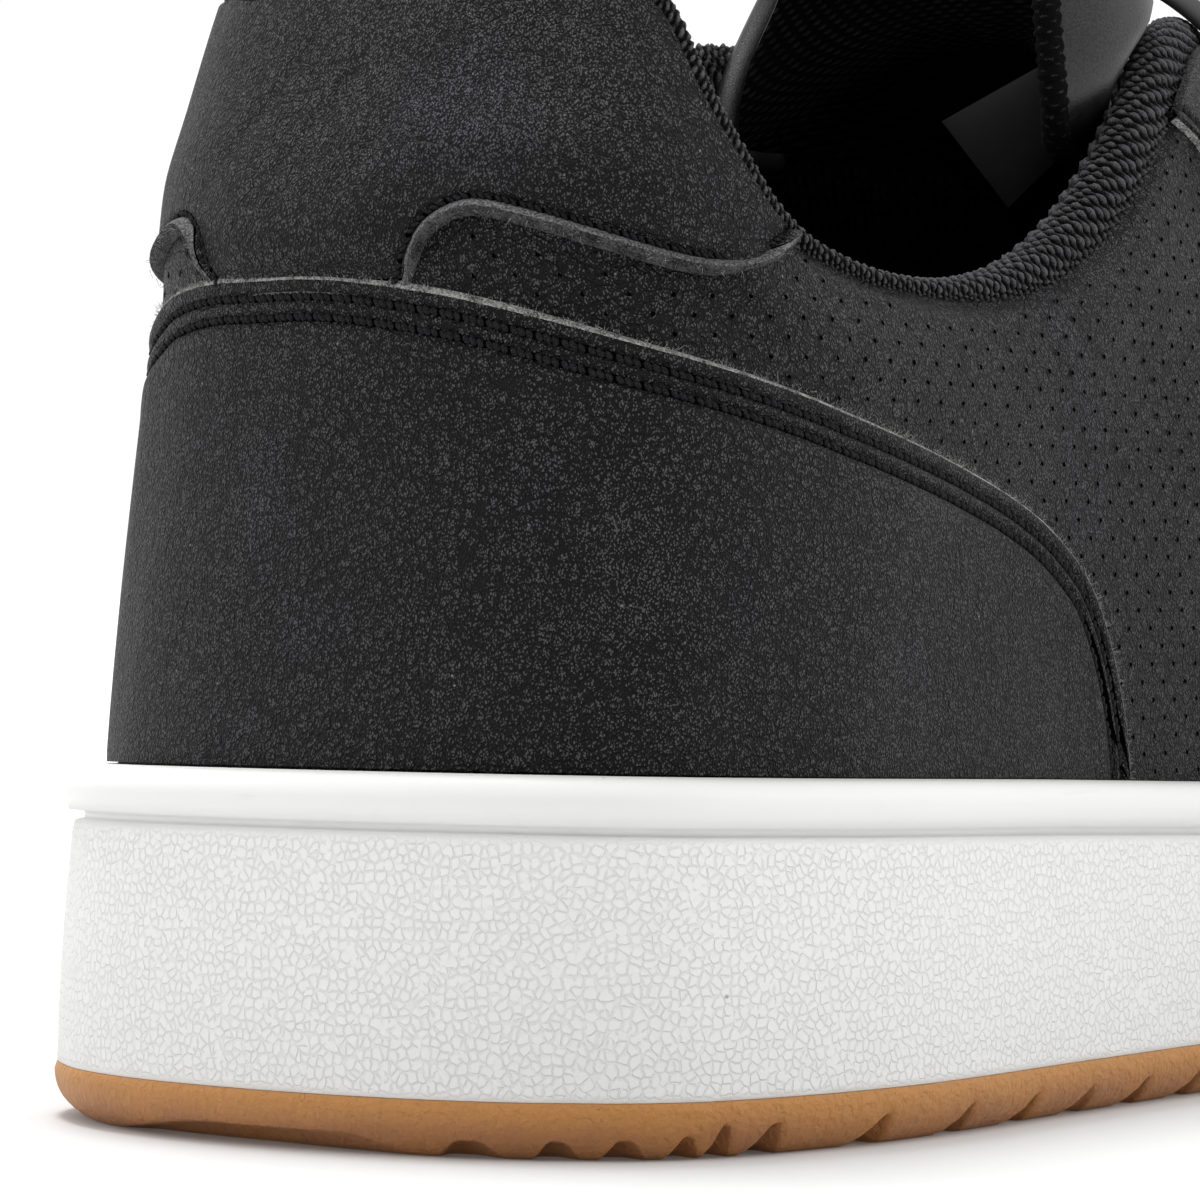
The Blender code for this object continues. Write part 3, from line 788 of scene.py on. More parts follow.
def leather(name):
    """Fine grained black leather: small pebbles whose tops are painted paler as a painted highlight, bluish
    in places as a painted sheen, dark creases between them deepened by painted shade, wrinkles and lint.
    """
    sizes = looks()
    look = Look(name, Specular_IOR_Level=0.16)
    pressed = look.warped(0.16, 0.7, look.stretched((1.0, 1.0, 0.7)))
    pebbles = 1.0 - look.ramp(look.cells(sizes.grain / METRES, "F1", pressed), 0.15, 0.75)
    fine = look.noise(0.13, 2.0)
    wrinkles = look.noise(0.75, 3.0, look.stretched((1.0, 1.0, 0.5)))
    soft = look.noise(24.0, 3.0)
    patch = look.ramp(look.noise(16.0, 2.0), 0.28, 0.5)
    gaps = look.cells(1.1, "DISTANCE_TO_EDGE", look.warped(0.4, 1.8))
    crease = (1.0 - look.ramp(gaps, 0.0, 0.13)) * patch
    grainy = pebbles * 0.6 + fine * 0.5 + wrinkles * 0.45
    # The tone is lightest on the pebbles' tops, a painted highlight mixed with random grain, and the creases
    # are painted darker as painted shade.
    tone = look.ramp(grainy + soft * 0.12 - crease * 0.32, 0.76, 1.1)
    colour = look.mix(tone, sizes.leather, sizes.painted_leather_sheen)
    # A bluish tint on the brightest spots: a painted sheen.
    bluish = look.ramp(look.noise(17.0, 2.0, look.stretched((1.0, 1.0, 0.7))), 0.56, 0.72)
    colour = look.mix(bluish * 0.45 * tone, colour, (0.066, 0.066, 0.100))
    lint = look.ramp(look.cells(1.7), 0.09, 0.035) * look.ramp(look.noise(5.0), 0.52, 0.64)
    look.colour(look.mix(lint * 0.6, colour, (0.36, 0.36, 0.36)))
    look.rough(0.46 + soft * 0.12 - pebbles * 0.10)
    look.bump(grainy - crease * 0.7, 0.2)
    return look.material


def smooth_leather(name):
    """Soft satin leather of the tongue, with hardly any grain."""
    look = Look(name, Specular_IOR_Level=0.5)
    fine = look.noise(0.2, 3.0)
    soft = look.noise(6.0, 3.0)
    tone = look.ramp(fine + soft * 0.3, 0.5, 0.85)
    look.colour(look.mix(tone, (0.003, 0.003, 0.0035), (0.022, 0.022, 0.025)))
    look.rough(0.36 + fine * 0.12)
    look.bump(fine, 0.06)
    return look.material


def painted_highlight_lip(name):
    """The pressed margin outside the panel's stitches, painted paler than the rest: a painted highlight for
    the light on its upturned face.
    """
    look = Look(name, roughness=0.62, Specular_IOR_Level=0.3)
    return speckled(look, 0.22, 3.0, (0.014, 0.014, 0.015), (0.15, 0.15, 0.155), (0.35, 0.68), 0.2)


def raw_leather(name, dark=(0.03, 0.03, 0.03), light=None):
    """The fibrous cut edge of leather."""
    look = Look(name, roughness=0.95, Specular_IOR_Level=0.2)
    fibres_seen = look.noise(0.2, 4.0)
    patches = look.noise(1.4, 3.0)
    tint = look.mix(look.ramp(fibres_seen * 0.8 + patches * 0.5, 0.45, 0.85), dark, light or looks().raw_edge)
    look.colour(tint)
    look.bump(fibres_seen, 0.25)
    return look.material


def painted_shade_edge(name):
    """A cut edge painted near-black, painted shade on a cut that faces down, with few pale fibres."""
    return raw_leather(name, (0.006, 0.006, 0.006), (0.085, 0.085, 0.086))


def thread_look(name):
    look = Look(name, roughness=0.75, Specular_IOR_Level=0.12)
    return speckled(look, 0.12, 2.0, *shaded(looks().thread, 1.0, 11.0), (0.35, 0.7), 0.1)


def knit_look(name):
    """Black ribbed knit: beads of yarn along each rib, lit and shaded copies of the knit colour mixed by the
    marks, so the raised tops carry a painted highlight and the gaps a painted shade.
    """
    look = Look(name, roughness=0.92, Specular_IOR_Level=0.12)
    yarn = look.noise(0.16, 3.0)
    fuzz = look.noise(0.5, 3.0)
    # Painted highlight on the raised tops given by the marks, painted shade in the gaps.
    lit = look.ramp(look.marks() + yarn * 0.6 + fuzz * 0.3, 0.84, 1.4)
    look.colour(look.mix(lit, *shaded(looks().knit, 0.05, 19.0)))
    look.bump(yarn, 0.3)
    return look.material


def mesh_look(name):
    """Black lining mesh with rows of small raised knots."""
    look = Look(name, roughness=0.95, Specular_IOR_Level=0.05)
    knot = look.ramp(look.lattice(1.5, 1.15), 0.55, 0.25)
    look.colour(look.mix(knot * look.noise(2.5), *shaded(looks().knit, 0.12, 2.6)))
    look.bump(knot + look.noise(0.2) * 0.3, 0.35)
    return look.material


def white_rubber(name):
    """White rubber: soft merged pebbles on the side band with painted shade in the valleys between them,
    smooth on the bead, with a few scuffs.
    """
    look = Look(name, Specular_IOR_Level=0.45)
    size = looks().pebble / METRES
    pressed = look.warped(0.32, 0.8, look.flat_place())
    edge = look.cells(size, "DISTANCE_TO_EDGE", pressed, 0.9, "2D")
    corner = look.cells(size, "F1", pressed, 0.9, "2D")
    band = look.marks()
    joined = look.ramp(look.noise(size * 1.2, 1.0), 0.28, 0.44)
    valley = (1.0 - look.ramp(edge, 0.0, 0.18)) * joined
    valley = look.maths("MAXIMUM", valley, look.ramp(corner, 0.56, 0.82))
    fine = look.noise(0.5, 3.0)
    white, shadow, valley_painted_shade = shaded(looks().rubber, 1.0, 0.94, 0.84)
    scuff = look.ramp(look.noise(3.0, 3.0, look.stretched((0.25, 0.25, 2.4))), 0.70, 0.78)
    dirt = look.ramp(look.cells(5.2), 0.05, 0.02) * look.ramp(look.noise(9.0), 0.55, 0.7)
    cloud = look.noise(30.0, 3.0)
    colour = look.mix(cloud * 0.4, white, shadow)
    # The valleys between the pebbles are painted darker as painted shade, besides the bump that sinks them.
    colour = look.mix(valley * band * 0.4, colour, valley_painted_shade)
    colour = look.mix(scuff * 0.12 * (1.0 - band), colour, (0.55, 0.50, 0.46))
    look.colour(look.mix(dirt * 0.6, colour, (0.16, 0.13, 0.10)))
    look.rough(0.40 + band * 0.16 + fine * 0.1)
    look.bump((1.0 - valley) * band + fine * 0.06, 0.08)
    return look.material


def gum_rubber(name):
    """Caramel gum rubber, golden along its top and browner below, with a wrinkled skin and pale specks."""
    look = Look(
        name, Specular_IOR_Level=0.4, Subsurface_Weight=0.15, Subsurface_Radius=(0.003, 0.0014, 0.0006),
        Subsurface_Scale=1.0,
    )
    gum = looks().gum
    cloud = look.noise(9.0, 4.0)
    pits = look.noise(0.8, 4.0, look.warped(0.5, 1.6))
    specks = look.ramp(look.cells(0.9), 0.15, 0.05) * look.ramp(look.noise(3.0), 0.48, 0.58)
    up = look.node("ShaderNodeSeparateXYZ", None, {"Vector": look.place()}, output="Z")
    golden = look.ramp(up + cloud * 0.0014, 0.0022, 0.0048)
    brown = (gum[0] * 0.80, gum[1] * 0.80, gum[2] * 1.05)
    caramel = look.mix(look.ramp(cloud + pits * 0.4, 0.4, 0.95), brown, gum)
    colour = look.mix(golden, caramel, (0.50, 0.225, 0.062))
    look.colour(look.mix(specks * 0.6, colour, (0.80, 0.62, 0.42)))
    look.rough(0.44 + pits * 0.2)
    look.bump(pits + specks * 0.4, 0.5)
    return look.material


def woven_lace(name):
    """Flat woven black lace with a fine herringbone."""
    look = Look(name, roughness=0.85, Specular_IOR_Level=0.3)
    across, up = look.flat()
    slant = look.maths("PINGPONG", across * 0.9 + look.maths("PINGPONG", up, 0.9), 0.32)
    yarn = look.noise(0.14, 2.0)
    look.colour(look.mix(look.ramp(slant + yarn * 0.2, 0.05, 0.4), *shaded(looks().knit, 1.0, 3.4)))
    look.bump(slant * 2.0 + yarn * 0.3, 0.22)
    return look.material


def label_look(name):
    """A plain grey satin label."""
    look = Look(name, roughness=0.6, Specular_IOR_Level=0.4)
    return speckled(look, 0.18, 2.0, (0.42, 0.42, 0.43), (0.56, 0.56, 0.57), depth=0.06)


def eyelet_look(name):
    look = Look(name, roughness=0.35, Metallic=0.7)
    return speckled(look, 0.8, 3.0, (0.016, 0.016, 0.017), (0.09, 0.09, 0.09), (0.55, 0.8), 0.03)


def floor_look(name):
    """A pale sweep that glows as painted light, weakly near the shoe and strongly away from it, so that it
    brightens away from the shoe as a lit studio floor does and keeps a painted shade round the shoe.
    """
    look = Look(name, roughness=0.7, Specular_IOR_Level=0.2, Emission_Strength=1.0)
    grain = look.noise(1.2, 3.0)
    look.colour(look.mix(grain, (0.59, 0.59, 0.59), (0.62, 0.62, 0.62)))
    away = look.node(
        "ShaderNodeVectorMath", {"operation": "LENGTH"}, {0: look.stretched((1.0, 1.6, 0.0))}, output="Value")
    # Painted light: the floor glows, weakly near the shoe and strongly away from it, which paints a shade
    # round the shoe.
    glow = look.mix(look.ramp(away, 0.18, 0.34), (0.05, 0.05, 0.05), (0.62, 0.62, 0.62))
    look.fill(look.shader.inputs["Emission Color"], glow)
    return look.material


# The sole

AROUND_FINE = spread((-TIP, -11, 110), (-11, -5, 230), (-5, 5, 380), (5, 11, 230), (11, TIP, 110))


def swept(rows):
    """Columns of points round the outline from rows of inset and height, each given at every station."""
    line = ray(AROUND_FINE)
    columns = []
    for inset, height in rows:
        radius = np.zeros_like(line.reach) if inset is None else line.reach - inset
        x, y = line.x + line.out_x * radius, line.y + line.out_y * radius
        z = height(x) if callable(height) else height
        columns.append(together(x, y, z))
    return np.stack(columns, 1)


def below_top(drop):
    return lambda x: sole_top(x) - drop


def above_gum(rise):
    return lambda x: GUM_TOP + FOOT_GAP + rise + lift(x)


def band_rows(count):
    """The side band, slanting in from the gum line to the groove under the bead."""
    rows = []
    for part in np.linspace(0.03, 0.965, count):
        bulge = 0.25 * math.sin(math.pi * part)

        def height(x, part=part):
            low, high = GUM_TOP + FOOT_GAP + lift(x), sole_top(x) - BEAD_HEIGHT
            return low + (high - low) * part

        rows.append((BAND_SLANT * part - bulge, height))
    return rows


class SNEAKER_OT_cupsole(bpy.types.Operator):
    """Builds the white cupsole: pebbled band, groove, rounded bead and inner cup"""

    bl_idname = "sneaker.cupsole"
    bl_label = "Cupsole"

    def execute(self, context):
        groove = BEAD_HEIGHT
        band = band_rows(26)
        rows = [(None, above_gum(0)), (6.0, above_gum(0)), (0.1, above_gum(0)), (0.02, above_gum(0.05))]
        smooth_rows = len(rows)
        rows += band
        rows += [
            (BAND_SLANT + 0.15, below_top(groove - 0.02)), (BAND_SLANT + 0.55, below_top(groove - 0.16)),
            (BAND_SLANT + 0.95, below_top(groove - 0.2)), (BAND_SLANT + 1.0, below_top(groove - 0.5)),
            (BAND_SLANT + 0.9, below_top(groove - 0.85)), (0.95, below_top(groove - 0.95)),
        ]
        for turn in np.linspace(-0.35, 0.5 * math.pi, 14):
            rows.append((2.6 - 2.0 * math.cos(turn), below_top(2.3 - 2.2 * math.sin(turn))))
        rows += [
            (3.6, below_top(0.02)), (CUP_WALL - 0.25, below_top(0.02)), (CUP_WALL, below_top(0.3)),
            (CUP_WALL, cup_floor), (CUP_WALL + 3, cup_floor), (None, cup_floor),
        ]
        marks = np.zeros(len(rows))
        marks[smooth_rows:smooth_rows + len(band)] = 1.0
        points = swept(rows)
        length = path_lengths(outline(AROUND_FINE))[:, None]
        made = sheet(
            "cupsole", points, [named("white_rubber", white_rubber)], solid=True,
            flat=together(length, points[..., 2]),
            marks=np.broadcast_to(marks, points.shape[:2]))
        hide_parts("midsole")
        return {"FINISHED"}


GROOVE_FIRST = 16.0
GROOVE_PITCH = 10.6
GROOVE_COUNT = 26
GROOVE_WIDTH = 2.6
GROOVE_DEPTH = 1.8
GROOVE_SWEEP = 9.0
TREAD_SIDE = 60.0
LIP_RECESS = 1.9
GUM_ROUND = 2.8

# Openings in the tread's edge, by length from the heel back: rise, full height, fall and end
Notch = namedtuple("Notch", "start full fading end height")
HEEL_NOTCHES = (
    Notch(-20.0, -4.0, 7.0, 13.2, 1.7), Notch(13.8, 15.8, 17.0, 19.4, 1.5),
    Notch(20.9, 22.2, 22.9, 24.6, 1.6), Notch(25.5, 26.8, 27.5, 29.1, 1.7),
    Notch(30.0, 31.2, 31.6, 32.8, 2.0), Notch(32.8, 33.9, 34.2, 35.1, 2.9),
    Notch(35.9, 38.0, 38.4, 39.3, 2.7),
)
NOTCHES = tuple(
    Notch(k - 2.6, k, k + 0.3, k + 1.2, 2.65) for k in (48.4, 60.2, *np.arange(71.2, 330, 9.9)))


def chevrons(x, y):
    """How far the tread's chevron grooves go up at places under the sole."""
    place = (x - GROOVE_FIRST - GROOVE_SWEEP * np.abs(y) / TREAD_SIDE) / GROOVE_PITCH
    row = np.rint(place)
    off = np.abs(place - row) * GROOVE_PITCH
    inside = (row >= 0) & (row < GROOVE_COUNT)
    return GROOVE_DEPTH * inside * smooth(GROOVE_WIDTH / 2 + 0.35, GROOVE_WIDTH / 2 - 0.35, off)


def lip_height(around):
    """How high the openings in the tread's edge are, and how deep they go."""
    length = length_at(around)
    height, depth = np.zeros(length.shape), np.zeros(length.shape)
    for place, notch in [(length, row) for row in HEEL_NOTCHES] + [(np.abs(length), row) for row in NOTCHES]:
        opened = smooth(notch.start, notch.full, place)
        shape = opened * smooth(notch.end, notch.fading, place)
        height = np.maximum(height, notch.height * shape)
        recess = LIP_RECESS * smooth(0.0, 0.25, shape) * smooth(notch.end, notch.full, place)
        depth = np.maximum(depth, recess)
    return height, depth


class SNEAKER_OT_tread(bpy.types.Operator):
    """Builds the gum tread: rounded side, scalloped lip with a recess under it, and chevron lugs"""

    bl_idname = "sneaker.tread"
    bl_label = "Gum tread"

    def execute(self, context):
        lip, shelf = lip_height(AROUND_FINE)

        def over(height):
            return lambda x: height + lift(x)

        top = GUM_TOP + FOOT_GAP - 0.02

        def rounded(height):
            return GUM_ROUND * np.clip((top - height) / top, 0, 1) ** 3 - 0.25

        rows = [(None, over(top)), (3.0, over(top)), (0.0, over(top)), (-0.08, over(top - 0.2))]
        for part in np.linspace(0.15, 1, 9):
            height = top + (lip + 0.3 - top) * part
            rows.append((rounded(height), over(height)))
        for height, inset in (
            (lip + 0.12, 0.05), (lip + 0.02, 0.12 + 0.15 * shelf), (lip * 0.96, 0.2 + 0.7 * shelf),
            (lip * 0.85, 0.25 + shelf), (lip * 0.4, 0.3 + shelf), (lip * 0.06, 0.4 + shelf),
        ):
            rows.append((rounded(height) + inset, over(height)))
        side_rows = len(rows)
        rows += [(inset, over(0.0)) for inset in np.linspace(5.3, 40, 30)] + [(None, over(0.0))]
        points = swept([row for row in rows if row[0] is None or np.ndim(row[0]) or row[0] < 36])
        under = points[:, side_rows:]
        under[..., 2] += chevrons(under[..., 0], under[..., 1])
        made = sheet("gum_tread", points, [named("gum_rubber", gum_rubber)], solid=True)
        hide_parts("outsole")
        return {"FINISHED"}


# The upper

UPPER_STATIONS = spread(
    (-TIP, -11, 60), (-11, -7, 90), (-7, -6, 50), (-6, -3, 80), (-3, 3, 120), (3, 6, 80),
    (6, 7, 50), (7, 11, 90), (11, TIP, 60),
)


def quarter_padding(around, below):
    """How far the padded collar swells the quarter at distances below its edge, and dips it at the edge."""
    place = np.abs(around)
    return (
        0.9 * hump(below, 8.0, 6.0) * smooth(6.4, 5.6, place)
        - 0.9 * smooth(2.2, 0.0, below) * smooth(6.6, 6.2, place)
    )


def punched_hole(bm):
    """A dark disc inside a low pressed rim, one unit in radius; the disc is painted shade in place of the
    hole's dark inside.
    """
    ring = bmesh.ops.create_circle(bm, cap_ends=True, cap_tris=True, segments=8, radius=1.0)
    bmesh.ops.translate(bm, verts=ring["verts"], vec=(0, 0, 0.06))
    for face in bm.faces:
        face.material_index = 1
    rim = [edge for edge in bm.edges if edge.is_boundary]
    for reach, rise in ((1.22, 0.16), (1.75, -0.06)):
        grown = bmesh.ops.extrude_edge_only(bm, edges=rim)["geom"]
        verts = [item for item in grown if isinstance(item, bmesh.types.BMVert)]
        for vert in verts:
            spread_to = Vector((vert.co.x, vert.co.y, 0)).normalized() * reach
            vert.co = (spread_to.x, spread_to.y, rise)
        rim = [item for item in grown if isinstance(item, bmesh.types.BMEdge)]
    for face in bm.faces:
        if max(Vector(vert.co[:2]).length for vert in face.verts) > 1.1:
            face.material_index = 0


# Near-black painted shade, put in the perforations, the needle holes and the rows along the stitch grooves
# where only shade is seen.
def painted_shade_look(name):
    look = Look(name, roughness=1.0, Specular_IOR_Level=0.0)
    return speckled(look, 0.3, 2.0, (0.0004, 0.0004, 0.0004), (0.002, 0.002, 0.002))


# Soft creases of the leather, each row a length along the side, a height, a slant, a size and a depth
CREASES = (
    (57.0, 43.0, 0.25, 9.0, 0.13), (63.0, 40.0, 0.33, 7.0, 0.15), (68.5, 44.0, 0.18, 8.0, 0.13),
    (74.0, 41.0, 0.30, 6.0, 0.16), (79.0, 38.0, 0.25, 5.0, 0.15), (83.5, 40.0, 0.20, 6.0, 0.15),
    (87.5, 37.0, 0.15, 5.0, 0.12), (-14.0, 42.0, 0.40, 6.0, 0.13), (-9.0, 40.0, 0.50, 7.0, 0.13),
    (-4.0, 44.0, 0.40, 6.0, 0.11), (-12.0, 84.0, 0.80, 5.0, 0.15), (-8.0, 88.0, 0.70, 5.0, 0.15),
    (-4.0, 83.0, 0.90, 6.0, 0.13), (1.0, 88.0, 0.60, 5.0, 0.13), (5.0, 83.0, 0.70, 6.0, 0.13),
    (22.0, 86.0, 0.35, 9.0, 0.10), (88.0, 66.0, -0.50, 7.0, 0.13), (96.0, 62.0, -0.45, 8.0, 0.15),
    (104.0, 66.0, -0.40, 8.0, 0.15), (110.0, 58.0, -0.35, 7.0, 0.13),
    (-40.0, 44.0, -0.25, 10.0, 0.10), (-52.0, 42.0, -0.20, 9.0, 0.10),
    (-92.0, 64.0, 0.45, 8.0, 0.13), (-104.0, 60.0, 0.40, 8.0, 0.13),
)
CREASE_SHARE = 0.7


def creased(flat):
    """How far the creases dip the leather at places on the flat sheet."""
    out = np.zeros(flat.shape[:-1])
    for length, height, slant, size, depth in CREASES:
        up = flat[..., 1] - height
        across = flat[..., 0] - length - slant * up
        out -= CREASE_SHARE * depth * np.exp(-across ** 2 - (up / size) ** 2)
    return out


# Where the perforations are: clear heights over the counter and under the collar, and the stations
HOLES_ABOVE = 0.8
HOLES_BELOW = 1.9
HOLES_FROM = 1.2
HOLES_TO = 8.0


class SNEAKER_OT_upper(bpy.types.Operator):
    """Builds the lasted leather of the quarters and vamp, and the mesh lining inside it"""

    bl_idname = "sneaker.upper"
    bl_label = "Upper"

    def execute(self, context):
        around = UPPER_STATIONS[:, None]
        top = upper_top(UPPER_STATIONS)[:, None]
        share = np.linspace(0, 1, 72)[None]
        part = top * share
        bare = upper_at(around, part)
        below = np.where(np.abs(around) < 6.5, collar_edge(around) - bare[..., 2], 40)
        out = quarter_padding(around, below) + creased(together(length_at(around), bare[..., 2]))
        outer = upper_at(around, part, out)
        turned = [upper_at(around, top, out[:, -1:] - drop) for drop in (0.25, 0.8, 1.4)]
        points = np.concatenate([outer, *turned], axis=1)
        flat = together(length_at(around), points[..., 2])
        made = sheet(
            "upper_leather", points, [named("heel_leather", leather)], flat=flat, inside=off_spine)
        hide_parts("upper")
        self.line_inside()
        self.perforate()
        return {"FINISHED"}

    def perforate(self):
        """Rows of punched holes over both quarters, clear of the collar, counter and eyestay."""
        sizes = looks()
        pitch, rows, half = sizes.hole_pitch / METRES, sizes.hole_rows / METRES, sizes.hole / METRES / 2
        step, row = np.meshgrid(np.arange(-60, 61), np.arange(14, 64))
        flat = np.stack([(step + row % 2 / 2) * pitch, row * rows], -1).reshape(-1, 2)
        around = station_of(flat[:, 0])
        place = np.abs(around)
        x = spine(around)[0]
        low = np.where(from_seam(around) < 5.7, flow(COUNTER_EDGE, from_seam(around)), 0)
        low = np.maximum(low, bead_at(around)) + HOLES_ABOVE
        high = np.minimum(collar_edge(around) - HOLES_BELOW, 102.5 - 0.72 * np.maximum(x - 96, 0))
        under_panel = np.where(from_seam(around) < 4.3, flow(PANEL_EDGE, from_seam(around)) - 1.7, 200)
        on_quarter = (place > HOLES_FROM) & (place < HOLES_TO)
        flat = flat[(flat[:, 1] > low) & (flat[:, 1] < np.minimum(high, under_panel)) & on_quarter]
        around = station_of(flat[:, 0])
        out = quarter_padding(around, collar_edge(around) - flat[:, 1])
        spots = skin(flat, out)
        up = unit(skin(flat, out + 1) - spots)
        ahead = unit(np.cross((0.0, 0.0, 1.0), up))
        turns = np.stack([ahead * half, np.cross(up, ahead) * half, up * half], 1)
        # The holes' discs take the near-black painted shade.
        made = scattered(
            "perforations", template(punched_hole), turns, spots,
            [named("heel_leather", leather), named("hole", painted_shade_look)])

    def line_inside(self):
        around = UPPER_STATIONS[::2, None]
        top = upper_top(UPPER_STATIONS[::2])[:, None]
        part = top * np.linspace(0, 0.985, 40)[None]
        wall = upper_at(around, part, -UPPER_WALL)
        line = ray(around)
        radius = line.reach - CUP_WALL - FOOT_GAP - UPPER_WALL
        x, y = line.x + line.out_x * radius, line.y + line.out_y * radius
        foot = np.stack([x, y, cup_floor(x) + FOOT_GAP], -1)
        points = np.concatenate([foot, wall], axis=1)
        flat = together(length_at(around), points[..., 2])
        made = sheet("upper_lining", points, [named("lining_mesh", mesh_look)], flat=flat, inside=off_spine)
        made.data.flip_normals()


# Overlays sewn on the upper

EDGE_STEP = 0.42
OVERLAY_STEP = 0.22


def overlay_rows(count):
    """Distances of an overlay's rows from its edge, close together over the stitches."""
    margin = np.arange(0.42, 4.2, OVERLAY_STEP)
    return np.concatenate([[0.0, 0.12, 0.26], margin, np.linspace(4.6, 30, count)])


def sewn_overlay(name, edge, base, rows, height, looks_used, cut_drop, grooves, painted_shade_half, lip_rows=0):
    """A leather overlay from its cut edge to a base line, its height over the upper given by place."""
    run = base - edge
    size = np.maximum(np.linalg.norm(run, axis=1)[:, None], 1e-6)
    near = rows[rows < 4.3]
    far = rows[rows >= 4.3]
    close = near * np.minimum(1, size / 9.0) / size
    rest = (far - far[0] + 0.4) / (far[-1] - far[0] + 0.4)
    share = np.concatenate([close, close[:, -1:] + (1 - close[:, -1:]) * rest], axis=1)
    flat = edge[:, None] + run[:, None] * share[..., None]
    leather_points = skin(flat, height(flat))
    drop = -side_normals(edge, cut_drop < 0) * abs(cut_drop)
    top = height(edge[:, None])[:, 0]
    cut = [skin(edge + drop * part, top * (1 - part ** 2) + 0.05 * part) for part in (1.0, 0.66, 0.33, 0.1)]
    points = np.concatenate([np.stack(cut, 1), leather_points], axis=1)
    sides = np.concatenate([np.repeat(edge[:, None], len(cut), 1), flat], axis=1)
    # Rows of look 3 are the panel's margin, painted paler as a painted highlight; rows of look 2 lie along
    # the stitch grooves and are painted near-black as painted shade.
    row_looks = [1] * len(cut) + [3] * lip_rows
    for place in rows[lip_rows:] + OVERLAY_STEP / 2:
        row_looks.append(2 if min(abs(place - groove) for groove in grooves) < painted_shade_half else 0)
    return sheet(name, points, looks_used, flat=sides, row_looks=row_looks, inside=off_spine)


def counter_path():
    signed = np.linspace(-5.74, 5.74, 900)
    around = beside_seam(signed)
    height = flow(COUNTER_EDGE, np.abs(signed)) + flow(COUNTER_INNER, np.clip(-signed, 0, 5))
    return evenly(np.stack([length_at(around), height], -1), EDGE_STEP)


def panel_sides():
    """The two sewn edges of the panel, inner and outer, each from the counter up to the collar."""
    side = np.linspace(PANEL_EDGE[0][0], PANEL_EDGE[-1][0], 500)
    heights = flow(PANEL_EDGE, side)
    paths = []
    for sign in (-1, 1):
        around = beside_seam(sign * side)
        inside = heights < collar_edge(around) - 0.35
        paths.append(evenly(np.stack([length_at(around), heights], -1)[inside], EDGE_STEP))
    return paths


RAW_RIM = 0.6
COUNTER_ROWS = (1.4, 3.1)
PANEL_ROW = 0.98
PANEL_THREAD = 0.5
STRIP_HALF = 13.0


class Overlay:
    """How high an overlay stands over the upper, by distance from its sewn edges."""

    def __init__(self, paths, profile, fit):
        self.points = np.concatenate([evenly(path, 0.15) for path in paths])
        self.profile = profile
        self.fit = fit

    def __call__(self, flat):
        return self.profile(distance_to(self.points, flat)) * self.fit(flat) + creased(flat)


def counter_profile(distance):
    """The counter's margin, two pressed stitch grooves, then the plain face."""
    out = 1.12 - 0.12 * smooth(0.3, 0.0, distance)
    for row in COUNTER_ROWS:
        out = out - 0.6 * hump(distance, row, 0.48)
    return out + 0.1 * hump(distance, 4.9, 1.2)


def panel_profile(distance):
    """The panel's flared margin, one stitch groove, then a padded face."""
    margin = 0.75 + 0.6 * smooth(0.8, 0.0, distance)
    padded_face = 0.75 + 0.55 * smooth(1.1, 7.0, distance)
    out = np.where(distance < PANEL_ROW, margin, padded_face)
    return out - 0.5 * hump(distance, PANEL_ROW, 0.3)


def counter_fit(flat):
    """The counter is thinner round the back of the heel."""
    return 1 - 0.6 * smooth(34, 14, np.abs(flat[..., 0]))


def panel_fit(flat):
    """The back strip lies flat where it goes under the counter."""
    strip = smooth(STRIP_HALF + 4, STRIP_HALF, np.abs(flat[..., 0] - length_at(BACK_SEAM)))
    return 1 - 0.75 * strip * smooth(73.6, 72.0, flat[..., 1])


